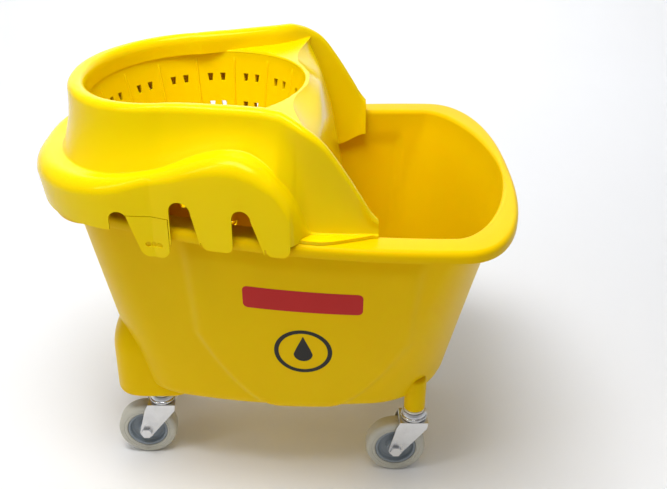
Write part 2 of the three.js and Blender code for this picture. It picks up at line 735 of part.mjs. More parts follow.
// An arch-topped slot, straight on its left side and flared on its right.
function notchOutline({ left, right, foot, top }) {
  const low = RIM_TOP - 60;
  const arch = (right - left) / 2;
  const points = [[left, low], [left, RIM_TOP + top - arch]];
  for (let i = 1; i < 6; i += 1) {
    const angle = Math.PI - (i / 6) * Math.PI;
    points.push([left + arch + arch * Math.cos(angle), RIM_TOP + top - arch + arch * Math.sin(angle)]);
  }
  points.push([right, RIM_TOP + top - arch]);
  points.push([foot, RIM_TOP - 16]);
  points.push([foot + 2, low]);
  return points.reverse();
}

const SKIRT_INSIDE = TUB_HALF_WIDTH - 69; // the slots are cut from here outward
const SKIRT_OUTSIDE = TUB_HALF_WIDTH + 71;

function bothSides(outline) {
  const far = upright(outline, SKIRT_INSIDE, SKIRT_OUTSIDE);
  return join(far, far.mirror([0, 1, 0]));
}

function latchOutline(grow) {
  const { left, foot, right, hinge, low, round } = LATCH;
  const points = [[left - grow, RIM_TOP + hinge + grow]];
  for (const [centre, start] of [[foot + round, 195], [right - round, 270]]) {
    for (let i = 0; i <= 3; i += 1) {
      const angle = mix(start, start < 270 ? 270 : 360, i / 3) * Math.PI / 180;
      const radius = round + grow;
      points.push([centre + radius * Math.cos(angle), RIM_TOP + low + round + radius * Math.sin(angle)]);
    }
  }
  points.push([right + grow, RIM_TOP + hinge + grow]);
  return points;
}

// The skirt's own curve, carried on down, is what the latch tabs are cut from.
function latchStock() {
  const rings = [];
  for (const along of SIDE_ALONG.filter((x) => x < -50)) rings.push(latchRing(station(along, 0)));
  for (let i = 1; i <= 4; i += 1) rings.push(latchRing(station(CREST_TURN_X, i / TURN_STEPS)));
  return toManifold(skin(rings));
}

function latchRing(st) {
  const bottom = RIM_TOP + LATCH.low - 4;
  const top = RIM_TOP + LATCH.hinge + 4;
  const lean = 1.5;
  return placeSection(st, [
    [st.lipReach, top],
    [st.lipReach - lean, bottom],
    [st.lipReach - lean - WRINGER_WALL, bottom],
    [st.lipReach - WRINGER_WALL, top],
  ], false);
}

function latchTab() {
  const blank = latchStock().intersect(upright(latchOutline(-LATCH_GAP), -SKIRT_OUTSIDE, -SKIRT_INSIDE));
  const scallops = [];
  for (let i = 0; i < 3; i += 1) {
    const groove = new THREE.CylinderGeometry(3.2, 3.2, 12, 10);
    const x = -125 + i * 6.4;
    const y = -lipHalf(x) - 3.4;
    scallops.push(toManifold(cleaned(groove)).translate([x, y, RIM_TOP - 20]));
  }
  return cut(blank, ...scallops);
}

function shroud() {
  const slots = NOTCHES.map((notch) => bothSides(notchOutline(notch)));
  const latchSlot = bothSides(latchOutline(0));
  const wall = cut(shroudWall(), ...slots, latchSlot);
  const keepOut = tilted(turned([
    [0, -60],
    [MOUTH_RADIUS, -60],
    [MOUTH_RADIUS, -2],
    [0, -2],
  ], 2 * RIB_COUNT));
  return join(cut(wall, keepOut), deck(), apron(), ears(), seats());
}

// ---------------------------------------------------------------- strainer basket
function basket() {
  const top = -COLLAR_DEPTH - FIT;
  const radiusAt = (z) => mix(MOUTH_RADIUS - 1, BASKET_FOOT_RADIUS, (top - z) / (BASKET_DEPTH + top));
  const foot = -BASKET_DEPTH;
  const flange = 9;
  let solid = turned([
    [0, foot - 6],
    [30, foot - 4],
    [BASKET_FOOT_RADIUS - 8, foot],
    [BASKET_FOOT_RADIUS, foot + 6],
    [radiusAt(top - 5) + BASKET_WALL, top - 5],
    [MOUTH_RADIUS + flange, top - 4],
    [MOUTH_RADIUS + flange, top],
    [MOUTH_RADIUS - 1, top],
    [BASKET_FOOT_RADIUS - BASKET_WALL, foot + 7],
    [BASKET_FOOT_RADIUS - 10, foot + 3],
    [30, foot - 1],
    [0, foot - 3],
  ], 2 * RIB_COUNT).rotate([0, 0, RIB_PHASE * 180 / Math.PI]);
  const pitch = Math.PI * 2 / RIB_COUNT;
  for (let i = 0; i < RIB_COUNT; i += 1) {
    const rib = upright([
      [radiusAt(top) + 1.5, top - 0.5],
      [radiusAt(top) - RIB_DEPTH + 1.5, top - 3],
      [radiusAt(foot) - RIB_DEPTH - BASKET_WALL, foot + 4],
      [radiusAt(foot) - 1, foot + 4],
    ], -RIB_WIDTH / 2, RIB_WIDTH / 2).rotate([0, 0, (RIB_PHASE + i * pitch) * 180 / Math.PI]);
    solid = join(solid, rib);
  }
  const holes = [];
  for (let row = 0; row < HOLE_ROWS; row += 1) {
    const z = top - 19 - row * HOLE_PITCH;
    for (let i = 0; i < RIB_COUNT; i += 1) {
      for (const side of [-1, 1]) {
        const spread = (pitch * 0.17) * side;
        const angle = RIB_PHASE + (i + 0.5) * pitch + spread;
        holes.push(basketHole(radiusAt(z)).translate([0, 0, z]).rotate([0, 0, angle * 180 / Math.PI]));
      }
    }
  }
  for (let i = 0; i < RIB_COUNT; i += 2) {
    const slot = plate([[36, -2.5], [74, -4.5], [74, 4.5], [36, 2.5]], foot - 12, foot + 12);
    holes.push(slot.rotate([0, 0, (RIB_PHASE + (i + 0.5) * pitch) * 180 / Math.PI]));
  }
  return tilted(cut(solid, wasm.Manifold.union(holes)));
}

// A slot through the wall, wider at its top than at its foot.
function basketHole(radius) {
  const shape = new THREE.Shape([
    new THREE.Vector2(-HOLE_WIDTH / 2, HOLE_HEIGHT / 2),
    new THREE.Vector2(-HOLE_WIDTH * 0.3, -HOLE_HEIGHT / 2),
    new THREE.Vector2(HOLE_WIDTH * 0.3, -HOLE_HEIGHT / 2),
    new THREE.Vector2(HOLE_WIDTH / 2, HOLE_HEIGHT / 2),
  ]);
  const geometry = new THREE.ExtrudeGeometry(shape, { depth: 14, bevelEnabled: false });
  geometry.rotateX(Math.PI / 2);
  geometry.rotateZ(Math.PI / 2);
  geometry.translate(radius - 6, 0, 0);
  return toManifold(geometry);
}

// ---------------------------------------------------------------- casters
// Each is made about its own swivel axis at x = 0, with the wheel trailing toward -X.
const FORK_GAP = TREAD_WIDTH + 4;
const HUB_WIDTH = FORK_GAP - 2;
const BUSH_RADIUS = AXLE_RADIUS + FIT + BUSH_WALL;
const FORK_OUTER = FORK_GAP / 2 + FORK_GAUGE;
const BOLT_HEAD = 4;

function alongY(solid) {
  return solid.rotate([90, 0, 0]).translate([-SWIVEL_TRAIL, 0, WHEEL_RADIUS]);
}

function ring(inner, outer, z0, z1, segments = 32) {
  return turned([[inner, z0], [outer, z0], [outer, z1], [inner, z1]], segments);
}

function tyre() {
  const half = TREAD_WIDTH / 2;
  return alongY(turned([
    [HUB_RADIUS, -half],
    [WHEEL_RADIUS - 4, -half],
    [WHEEL_RADIUS, -half + 5],
    [WHEEL_RADIUS, half - 5],
    [WHEEL_RADIUS - 4, half],
    [HUB_RADIUS, half],
  ], 26));
}

function hub() {
  const rim = HUB_RADIUS - FIT;
  const half = TREAD_WIDTH / 2 - 1;
  const bore = BUSH_RADIUS + FIT;
  const boss = bore + 4;
  return alongY(turned([
    [bore, -HUB_WIDTH / 2],
    [boss, -HUB_WIDTH / 2],
    [boss, -3],
    [rim - 3.5, -3],
    [rim - 3, -half],
    [rim, -half],
    [rim, half],
    [rim - 3, half],
    [rim - 3.5, 3],
    [boss, 3],
    [boss, HUB_WIDTH / 2],
    [bore, HUB_WIDTH / 2],
  ], 16));
}

function bush() {
  return alongY(ring(AXLE_RADIUS + FIT, BUSH_RADIUS, -HUB_WIDTH / 2, HUB_WIDTH / 2, 12));
}

function hexagon(radius, z0, z1) {
  const corners = [];
  for (let i = 0; i < 6; i += 1) {
    const angle = i * Math.PI / 3;
    corners.push([radius * Math.cos(angle), radius * Math.sin(angle)]);
  }
  return plate(corners, z0, z1);
}

function axle() {
  const shank = turned([
    [0, -FORK_OUTER - 2 * BOLT_HEAD],
    [AXLE_RADIUS - 0.6, -FORK_OUTER - 2 * BOLT_HEAD],
    [AXLE_RADIUS, -FORK_OUTER - 2 * BOLT_HEAD + 1],
    [AXLE_RADIUS, FORK_OUTER + 1],
    [0, FORK_OUTER + 1],
  ], 12);
  return alongY(join(shank, hexagon(NUT_RADIUS, FORK_OUTER + FIT, FORK_OUTER + FIT + BOLT_HEAD)));
}

function nut() {
  const body = hexagon(NUT_RADIUS, -FORK_OUTER - FIT - NUT_HEIGHT, -FORK_OUTER - FIT);
  const hole = turned([[0, -40], [AXLE_BORE, -40], [AXLE_BORE, 40], [0, 40]], 12);
  return alongY(cut(body, hole));
}

const AXLE_BORE = AXLE_RADIUS + FIT;
const NUT_RADIUS = 7.2; // over its corners
const NUT_HEIGHT = 6;

function fork() {
  const crownHalf = 17;
  const tip = 9;
  const leg = [];
  leg.push([crownHalf, FORK_TOP]);
  leg.push([crownHalf - 1, FORK_TOP - 9]);
  for (let i = 0; i <= 6; i += 1) {
    const angle = -0.35 - (i / 6) * 2.75;
    leg.push([-SWIVEL_TRAIL + tip * Math.cos(angle), WHEEL_RADIUS + tip * Math.sin(angle)]);
  }
  leg.push([-crownHalf - 5, FORK_TOP - 8]);
  leg.push([-crownHalf - 1, FORK_TOP]);
  const block = upright(leg, -FORK_OUTER, FORK_OUTER);
  const gap = upright([[-60, 0], [60, 0], [60, FORK_TOP - FORK_GAUGE], [-60, FORK_TOP - FORK_GAUGE]].reverse(),
    -FORK_GAP / 2, FORK_GAP / 2);
  const crownHole = turned([[0, 60], [STEM_RADIUS + FIT, 60], [STEM_RADIUS + FIT, 100], [0, 100]], 12);
  const axleHole = alongY(turned([[0, -40], [AXLE_BORE, -40], [AXLE_BORE, 40], [0, 40]], 12));
  return cut(block, gap, crownHole, axleHole);
}

function raceCup() {
  return turned([
    [STEM_RADIUS + FIT, RACE_BASE],
    [15, RACE_BASE],
    [16.5, RACE_BASE + 2.5],
    [15, RACE_BASE + 5],
    [15.6, RACE_BASE + 6],
    [14, RACE_TOP],
    [STEM_RADIUS + FIT, RACE_TOP],
  ], 14);
}

function stem() {
  const rivet = FORK_TOP - FORK_GAUGE - FIT;
  const top = SLEEVE_LIP + STEM_LENGTH;
  return turned([
    [0, rivet - 2.5],
    [STEM_RADIUS + 1, rivet - 2.5],
    [STEM_RADIUS + 2.5, rivet - 1],
    [STEM_RADIUS + 2.5, rivet],
    [STEM_RADIUS, rivet],
    [STEM_RADIUS, top - 8],
    [STEM_RADIUS - 1, top - 7],
    [STEM_RADIUS - 1, top - 5],
    [STEM_RADIUS, top - 4],
    [STEM_RADIUS - 1.2, top],
    [0, top],
  ], 12);
}

function sleeve() {
  return turned([
    [STEM_RADIUS + FIT, SLEEVE_LIP - SLEEVE_LIP_HEIGHT],
    [SLEEVE_RADIUS + 2, SLEEVE_LIP - SLEEVE_LIP_HEIGHT],
    [SLEEVE_RADIUS + 3, SLEEVE_LIP - 2],
    [SLEEVE_RADIUS + 3, SLEEVE_LIP],
    [SLEEVE_RADIUS, SLEEVE_LIP],
    [SLEEVE_RADIUS, SLEEVE_LIP + STEM_LENGTH],
    [STEM_RADIUS + FIT, SLEEVE_LIP + STEM_LENGTH],
  ], 14);
}

// ---------------------------------------------------------------- the assembly
const YELLOW = { color: 0xe8c80f, roughness: 0.3, metalness: 0 };
const ZINC = { color: 0xb9bcc0, roughness: 0.35, metalness: 0.9 };
const NYLON = { color: 0xe9e9e4, roughness: 0.45, metalness: 0 };
const RUBBER = { color: 0xc9c8ba, roughness: 0.6, metalness: 0 };
const GREY_HUB = { color: 0x8d949b, roughness: 0.5, metalness: 0 };

const group = new THREE.Group();

function add(parent, name, solid, finish) {
  const geometry = toGeometry(solid).translate(-MIDDLE_X, 0, 0);
  const mesh = new THREE.Mesh(geometry, new THREE.MeshStandardMaterial(finish));
  mesh.name = name;
  parent.add(mesh);
}

add(group, 'bucket_tub', tub(), YELLOW);
add(group, 'wringer_shroud', shroud(), YELLOW);
add(group, 'strainer_basket', basket(), YELLOW);
const tab = latchTab();
add(group, 'latch_tab_near', tab, YELLOW);
add(group, 'latch_tab_far', tab.mirror([0, 1, 0]), YELLOW);

const CASTER_PIECES = [
  ['socket_sleeve', sleeve(), NYLON],
  ['caster_stem', stem(), ZINC],
  ['race_cup', raceCup(), ZINC],
  ['caster_fork', fork(), ZINC],
  ['axle_bolt', axle(), ZINC],
  ['axle_nut', nut(), ZINC],
  ['axle_bush', bush(), ZINC],
  ['wheel_hub', hub(), GREY_HUB],
  ['wheel_tyre', tyre(), RUBBER],
];
for (const { name, x, y } of castersAt()) {
  const caster = new THREE.Group();
  caster.position.set(x, y, 0);
  for (const [piece, solid, finish] of CASTER_PIECES) add(caster, `${piece}_${name}`, solid, finish);
  group.add(caster);
}

export default group;
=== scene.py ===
# A rolling mop bucket with a lift-off funnel wringer. Shapes are written in millimetres and
# made in metres; the wringer sits over the narrow -X end.
import math

import bmesh
import bpy
import numpy as np
from mathutils import Matrix, Vector


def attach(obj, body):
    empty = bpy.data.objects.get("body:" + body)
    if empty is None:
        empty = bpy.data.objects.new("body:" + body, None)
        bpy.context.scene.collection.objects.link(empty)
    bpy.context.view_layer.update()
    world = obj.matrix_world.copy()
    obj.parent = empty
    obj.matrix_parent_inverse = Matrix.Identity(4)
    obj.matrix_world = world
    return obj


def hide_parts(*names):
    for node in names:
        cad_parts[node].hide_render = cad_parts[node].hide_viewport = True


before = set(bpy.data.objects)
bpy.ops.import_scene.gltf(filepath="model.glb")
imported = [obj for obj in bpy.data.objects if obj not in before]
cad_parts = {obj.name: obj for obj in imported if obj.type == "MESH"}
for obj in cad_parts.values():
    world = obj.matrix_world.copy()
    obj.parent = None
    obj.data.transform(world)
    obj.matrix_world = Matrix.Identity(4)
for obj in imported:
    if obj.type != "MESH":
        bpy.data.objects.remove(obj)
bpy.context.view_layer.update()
MM = 0.001

# ------------------------------------------------------------------ driving sizes
FIT = 0.3
BASE_Z = 95
TUB_FLOOR = BASE_Z + 14
RIM_TOP = TUB_FLOOR + 271
TUB_WALL = 4
RIM_ROUND = 6
RIM_SKIRT = 13.5
RIM_END_SKIRT = 20
FLOOR_ROUND = 14
WALL_TOP = RIM_TOP - 10
MIDDLE_X = 6  # the outlines are written from this point, which is then moved to x = 0
WIDEST_X = 185
SIDE_BOW = 6.155e-4  # the sides draw in by this times (x - WIDEST_X) squared
LIP_HALF = 225.2

CREST_Z = RIM_TOP + 127.5
WRINGER_WALL = 3.6
CREST_WIDTH = 20
WING_WIDTH = 12
WING_TIP = 118
CREST_TURN_X = -102
CREST_END = 123
LIP_TURN_X = -120
LIP_REACH = 153
END_ALONG = -262
TAB_END = 33
LIP_END = 51
END_DROP = 5.5  # how far the skirt hangs below the rim round the narrow end
BULL_RADIUS = 18  # rounding of the lip
CREST_ROLL = 6
SIDE_LEAN = 0.28
END_LEAN = 0.13
WALL_HOLLOW = 3.2
MOUTH_X = -87
MOUTH_RADIUS = 126
MOUTH_TILT = 0.055
MOUTH_Z = CREST_Z - 25.5
COLLAR_DEPTH = 14
DECK_END = 34
DECK_CORNER = 43  # the deck's corners reach the wings here
APRON_FOOT_X = 82
APRON_FOOT_Z = RIM_TOP - 48
APRON_HALF = 166.8
APRON_BOW = 13

BASKET_DEPTH = 205
BASKET_FOOT_RADIUS = 88
BASKET_WALL = 3
RIB_COUNT = 16
RIB_PHASE = 0.133
RIB_DEPTH = 3
RIB_HALF_WIDTH = 1.7
RIB_RUN_OUT = 9  # length over which a rib rises out of the wall
RIB_TOP = -9  # the ribs run out this far below the ring
HOLE_ROWS = 5
HOLE_PITCH = 35
FIRST_HOLES = 19  # below the cone's flange
FLANGE_WIDTH = 9

WHEEL_RADIUS = 37.5
NUT_RADIUS = 7.2  # over its corners
FORK_TIP = 9
TREAD_WIDTH = 22
HUB_RADIUS = 26
SWIVEL_TRAIL = 22
AXLE_RADIUS = 4
BUSH_RADIUS = AXLE_RADIUS + FIT + 2
FORK_GAUGE = 2.5
STEM_RADIUS = 5.5
STEM_LENGTH = 40
SLEEVE_RADIUS = STEM_RADIUS + FIT + 4
BORE_RADIUS = SLEEVE_RADIUS + FIT
SOCKET_RADIUS = BORE_RADIUS + 3.2
FRONT_CASTER = (176, 106)
REAR_CASTER = (-146, 72)


# ------------------------------------------------------------------ solids
def new_object(name, points, faces, shift=True):
    """A mesh object from points in millimetres."""
    points = np.array(points, float)
    if shift:
        points = points - (MIDDLE_X, 0, 0)
    mesh = bpy.data.meshes.new(name)
    mesh.from_pydata((points * MM).tolist(), [], [list(f) for f in faces])
    shell = bmesh.new()
    shell.from_mesh(mesh)
    bmesh.ops.remove_doubles(shell, verts=shell.verts, dist=1e-7)
    bmesh.ops.dissolve_degenerate(shell, edges=shell.edges, dist=1e-7)
    bmesh.ops.recalc_face_normals(shell, faces=shell.faces)
    if shell.calc_volume(signed=True) < 0:
        bmesh.ops.reverse_faces(shell, faces=shell.faces)
    shell.to_mesh(mesh)
    shell.free()
    made = bpy.data.objects.new(name, mesh)
    bpy.context.scene.collection.objects.link(made)
    return made


def skin(name, rings, strip=False, shift=True):
    """A body lofted through rings with the same number of points each."""
    count = len(rings[0])
    points = [p for ring in rings for p in ring]
    faces = []
    for i in range(len(rings) - 1):
        a, b = i * count, (i + 1) * count
        for j in range(count):
            k = (j + 1) % count
            faces.append((a + j, b + j, b + k, a + k))
    end = (len(rings) - 1) * count
    for start in (0, end):
        if strip:
            for i in range(count // 2 - 1):
                faces.append((start + i, start + i + 1, start + count - 2 - i, start + count - 1 - i))
        else:
            hub = len(points)
            points.append(np.mean(np.array(points[start:start + count]), axis=0))
            for j in range(count):
                faces.append((start + j, start + (j + 1) % count, hub))
    return new_object(name, points, faces, shift)


def turned(name, profile, segments=96, shift=False):
    """A body turned about Z from [radius, height] points that close on themselves or on the axis."""
    points, faces = [], []
    count = len(profile)
    for i in range(segments):
        angle = 2 * math.pi * i / segments
        points += [(r * math.cos(angle), r * math.sin(angle), z) for r, z in profile]
    closed = profile[0][0] > 0
    for i in range(segments):
        a, b = i * count, (i + 1) % segments * count
        for j in range(count if closed else count - 1):
            k = (j + 1) % count
            faces.append((a + j, b + j, b + k, a + k))
    return new_object(name, points, faces, shift)


def plate(name, outline, z0, z1, shift=True):
    """A plate of an [x, y] outline between two heights."""
    count = len(outline)
    points = [(x, y, z) for z in (z0, z1) for x, y in outline]
    faces = [tuple(range(count)), tuple(range(count, 2 * count))]
    faces += [(j, (j + 1) % count, count + (j + 1) % count, count + j) for j in range(count)]
    return new_object(name, points, faces, shift)


def upright(name, outline, y0, y1, shift=True):
    """A plate of an [x, z] outline standing across Y."""
    made = plate(name, [(x, -z) for x, z in outline], y0, y1, shift)
    made.data.transform(Matrix.Rotation(math.radians(-90), 4, "X"))
    return made


def placed(made, matrix):
    made.data.transform(matrix)
    return made


def moved(made, x=0.0, y=0.0, z=0.0):
    return placed(made, Matrix.Translation((x * MM, y * MM, z * MM)))


def spun(made, angle, axis="Z"):
    return placed(made, Matrix.Rotation(angle, 4, axis))


def mirrored(made):
    """A copy on the other side of the XZ plane."""
    twin = made.copy()
    twin.data = made.data.copy()
    bpy.context.scene.collection.objects.link(twin)
    twin.data.transform(Matrix.Scale(-1, 4, (0, 1, 0)))
    twin.data.flip_normals()
    return twin


def combine(base, tools, operation):
    """Adds, cuts or intersects the tools and throws them away."""
    for tool in tools:
        step = base.modifiers.new("step", "BOOLEAN")
        step.operation = operation
        step.solver = "MANIFOLD"
        step.object = tool
    bpy.context.view_layer.update()
    graph = bpy.context.evaluated_depsgraph_get()
    result = bpy.data.meshes.new_from_object(base.evaluated_get(graph))
    base.modifiers.clear()
    base.data = result
    for tool in tools:
        bpy.data.objects.remove(tool)
    return base


def join(base, *tools):
    return combine(base, tools, "UNION")


def cut(base, *tools):
    return combine(base, tools, "DIFFERENCE")


def common(base, tool):
    return combine(base, [tool], "INTERSECT")


def merged(name, parts):
    """Separate bodies held in one object, used as one cutting tool."""
    made = bpy.data.objects.new(name, bpy.data.meshes.new(name))
    bpy.context.scene.collection.objects.link(made)
    whole = bmesh.new()
    for part in parts:
        whole.from_mesh(part.data)
        bpy.data.objects.remove(part)
    whole.to_mesh(made.data)
    whole.free()
    return made


def arc(cx, cz, radius, start, stop, steps):
    """Points on an arc, in degrees."""
    angles = np.radians(np.linspace(start, stop, steps + 1))
    return [(cx + radius * math.cos(a), cz + radius * math.sin(a)) for a in angles]


def finish_piece(made, name, body, material, nodes=(), crease=32, bevel=0.0):
    """Names a piece, smooths its shading, gives it a finish and lets it ride on its body."""
    made.name = name
    made.data.name = name
    if bevel:
        rounding = made.modifiers.new("rounding", "BEVEL")
        rounding.width = bevel * MM
        rounding.segments = 2
        rounding.limit_method = "ANGLE"
        rounding.angle_limit = math.radians(35)
    made.data.shade_smooth()
    made.data.set_sharp_from_angle(angle=math.radians(crease))
    made.data.materials.clear()
    made.data.materials.append(material)
    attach(made, body)
    if nodes:
        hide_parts(*nodes)
    return made


# ------------------------------------------------------------------ curves
def mix(a, b, t):
    return a + (b - a) * t


def ease(t):
    c = min(max(t, 0.0), 1.0)
    return c * c * (3 - 2 * c)


def through(points):
    """A smooth curve through [x, value] points, in rising x."""
    xs = [p[0] for p in points]
    ys = [p[1] for p in points]
    last = len(points) - 1
    slopes = []
    for i in range(last + 1):
        a, b = max(i - 1, 0), min(i + 1, last)
        slopes.append((ys[b] - ys[a]) / (xs[b] - xs[a]))

    def value(x):
        if x <= xs[0]:
            return ys[0]
        if x >= xs[last]:
            return ys[last]
        i = max(k for k in range(last) if xs[k] <= x)
        h = xs[i + 1] - xs[i]
        t = (x - xs[i]) / h
        t2, t3 = t * t, t * t * t
        return ((2 * t3 - 3 * t2 + 1) * ys[i] + (t3 - 2 * t2 + t) * h * slopes[i]
                + (3 * t2 - 2 * t3) * ys[i + 1] + (t3 - t2) * h * slopes[i + 1])
    return value


# ------------------------------------------------------------------ bucket outlines
WALL_AT_RIM = dict(left=-242, left_run=62, left_power=2.6, right=278, right_run=78, right_power=1.75,
                   half=188.8, widest=WIDEST_X, bow=SIDE_BOW)
WALL_AT_FLOOR = dict(left=-184, left_run=70, left_power=2.3, right=220, right_run=108, right_power=2,
                     half=128.3, widest=55, bow=7.2e-4)
RIM_OUTLINE = dict(left=-257, left_run=56, left_power=2.9, right=285, right_run=84, right_power=2.4,
                   half=219.6, widest=WIDEST_X, bow=SIDE_BOW)
END_STEPS = 22
SIDE_STEPS = 90


def half_egg(egg):
    """Half of an outline from its right tip to its left tip, on the -Y side."""
    def half_at(x):
        return egg["half"] - egg["bow"] * (x - egg["widest"]) ** 2

    points = []
    right_start = egg["right"] - egg["right_run"]
    left_start = egg["left"] + egg["left_run"]
    angles = np.linspace(0, math.pi / 2, END_STEPS + 1)
    for angle in angles:
        x = right_start + egg["right_run"] * abs(math.cos(angle)) ** (2 / egg["right_power"])
        y = half_at(min(x, right_start)) * math.sin(angle) ** (2 / egg["right_power"])
        points.append((x, -y))
    for i in range(1, SIDE_STEPS):
        x = mix(right_start, left_start, i / SIDE_STEPS)
        points.append((x, -half_at(x)))
    for angle in angles[::-1]:
        x = left_start - egg["left_run"] * abs(math.cos(angle)) ** (2 / egg["left_power"])
        points.append((x, -half_at(x) * math.sin(angle) ** (2 / egg["left_power"])))
    return points


def egg_ring(egg, z, grow=0.0):
    """The whole outline at one height, moved outward by grow."""
    half = half_egg(egg)
    ring = np.array(half + [(x, -y) for x, y in half[-2:0:-1]])
    way = np.roll(ring, -1, axis=0) - np.roll(ring, 1, axis=0)
    way /= np.linalg.norm(way, axis=1, keepdims=True)
    out = ring + np.stack([-way[:, 1], way[:, 0]], axis=1) * grow
    heights = [z(x) for x in ring[:, 0]] if callable(z) else [z] * len(ring)
    return np.column_stack([out, heights])


PANEL = dict(centre=37, half_top=131, low=106, rise=4.5, soft=12)


def panel_rise(x, z):
    """How far the pressed panel on the side wall stands proud."""
    up = max((z - PANEL["low"]) / (RIM_TOP - 30 - PANEL["low"]), 0)
    half = PANEL["half_top"] * min(up * 2.1, 1) ** 0.42 * (0.88 + 0.12 * up)
    return PANEL["rise"] * ease((half - abs(x - PANEL["centre"])) / PANEL["soft"] + 0.5)


def wall_egg(z):
    t = min(max((z - TUB_FLOOR) / (WALL_TOP - TUB_FLOOR), 0), 1)
    return {key: mix(WALL_AT_FLOOR[key], WALL_AT_RIM[key], t) for key in WALL_AT_RIM}


def wall_ring(z, grow):
    low = max(TUB_FLOOR + FLOOR_ROUND - z, 0)
    tuck = FLOOR_ROUND - math.sqrt(FLOOR_ROUND ** 2 - low ** 2)
    ring = egg_ring(wall_egg(z), z, grow - tuck)
    fade = ease((WALL_TOP - 12 - z) / 30)
    for p in ring:
        side = ease((abs(p[1]) - 50) / 20)
        p[1] += math.copysign(panel_rise(p[0], z) * fade * side, p[1])
    return ring


def at_height(ring, z):
    flat = ring.copy()
    flat[:, 2] = z
    return flat


def skirt_z(x):
    return RIM_TOP - mix(RIM_END_SKIRT, RIM_SKIRT, ease((x + 232) / 70))


def tub_shell():
    wall = [TUB_FLOOR + h for h in [0, 0.4, 1.4, 3, 5.5, 9, 14] + list(range(18, 247, 4))]
    rings = [wall_ring(z, 0) for z in wall]
    under = RIM_TOP - TUB_WALL
    rings.append(egg_ring(WALL_AT_RIM, WALL_TOP, 0))
    rings.append(egg_ring(WALL_AT_RIM, under - 1.5, 0.3))
    rings.append(egg_ring(WALL_AT_RIM, under, 1.8))
    rings.append(egg_ring(RIM_OUTLINE, under, -TUB_WALL - 1))
    rings.append(egg_ring(RIM_OUTLINE, under - 1, -TUB_WALL))
    rings.append(egg_ring(RIM_OUTLINE, skirt_z, -TUB_WALL + 0.8))
    for grow, lift in ((-TUB_WALL + 1.4, -0.0), (-1.2, 0.0), (-0.35, 0.35), (0, 1.2)):
        rings.append(egg_ring(RIM_OUTLINE, lambda x, up=lift: skirt_z(x) + up, grow))
    for angle in np.radians(np.linspace(0, 90, 9)):
        grow = -RIM_ROUND * (1 - math.cos(angle))
        rings.append(egg_ring(RIM_OUTLINE, RIM_TOP - RIM_ROUND * (1 - math.sin(angle)), grow))
    for angle in np.radians(np.linspace(0, 90, 9)):
        grow = -TUB_WALL + RIM_ROUND * (1 - math.sin(angle))
        rings.append(egg_ring(WALL_AT_RIM, RIM_TOP - RIM_ROUND * (1 - math.cos(angle)), grow))
    rings += [wall_ring(z, -TUB_WALL) for z in wall[6:][::-1]]
    rings.append(wall_ring(TUB_FLOOR + 11, -TUB_WALL - 0.5))
    rings.append(wall_ring(TUB_FLOOR + 9, -TUB_WALL - 1.6))
    rings.append(at_height(wall_ring(TUB_FLOOR + 8, -TUB_WALL - 4.5), TUB_FLOOR + 6))
    rings.append(at_height(wall_ring(TUB_FLOOR + 8, -TUB_WALL - 9), TUB_FLOOR + 4.5))
    rings.append(at_height(wall_ring(TUB_FLOOR + 8, -TUB_WALL - 14), TUB_FLOOR + TUB_WALL))
    return skin("tub_shell", rings)


FOOT = dict(left=-206, right=-96, half=91, top=205)


def foot_ring(z, inset, count=120):
    """The lobed caster housing across the narrow end."""
    half_x = (FOOT["right"] - FOOT["left"]) / 2 - inset
    half_y = FOOT["half"] - inset
    centre = (FOOT["right"] + FOOT["left"]) / 2
    ring = []
    for angle in np.arange(count) * 2 * math.pi / count:
        c, s = math.cos(angle), math.sin(angle)
        x = centre + half_x * math.copysign(abs(c) ** 0.5, c)
        y = half_y * math.copysign(abs(s) ** 0.5, s)
        dip = 7 * math.exp(-((y / 26) ** 2)) * (1 if x < centre else 0)
        ring.append((x + dip, y, z))
    return ring


CASTERS = [(f"{end}_{side}", x, sign * y)
           for end, (x, y) in (("front", FRONT_CASTER), ("rear", REAR_CASTER))
           for side, sign in (("near", -1), ("far", 1))]


def tub():
    """The bucket moulding: shell, caster housing and the four stem sockets."""
    rounding = 7
    outside = []
    for angle in np.radians(np.linspace(90, 0, 8)):
        height = BASE_Z + rounding * (1 - math.sin(angle))
        outside.append(foot_ring(height, rounding * (1 - math.cos(angle))))
    outside.append(foot_ring(TUB_FLOOR + 50, 0))
    for t in np.linspace(0.1, 1, 10):
        outside.append(foot_ring(mix(TUB_FLOOR + 50, FOOT["top"], t), 16 * t ** 1.8))
    pocket = [foot_ring(BASE_Z - 1, TUB_WALL + 1.5), foot_ring(TUB_FLOOR + 48, TUB_WALL),
              foot_ring(FOOT["top"] - 16, 12 + TUB_WALL)]
    inside = [wall_ring(TUB_FLOOR + h, -TUB_WALL + 0.5) for h in [TUB_WALL] + list(range(8, 172, 8))]
    foot = cut(skin("foot", outside), skin("pocket", pocket), skin("inside", inside))
    bosses, bores = [], []
    for _, x, y in CASTERS:
        top = BASE_Z + STEM_LENGTH + 7
        rim = arc(SOCKET_RADIUS - 3, BASE_Z + 3, 3, -90, 0, 6)
        crown = arc(SOCKET_RADIUS - 4, top - 4, 4, 0, 90, 6)
        boss = turned("boss", [(0, BASE_Z)] + rim + crown + [(0, top)], 64)
        bosses.append(moved(boss, x - MIDDLE_X, y))
        height = BASE_Z + STEM_LENGTH + 3
        bore = turned("bore", [(0, BASE_Z - 1), (BORE_RADIUS, BASE_Z - 1),
                               (BORE_RADIUS, height), (0, height)], 64)
        bores.append(moved(bore, x - MIDDLE_X, y))
    x, y = REAR_CASTER
    web = plate("web", [(x - 2, -y), (x + 2, -y), (x + 2, y), (x - 2, y)], BASE_Z + 4, TUB_FLOOR + 2)
    whole = join(tub_shell(), foot, *bosses, web)
    return cut(whole, *bores)


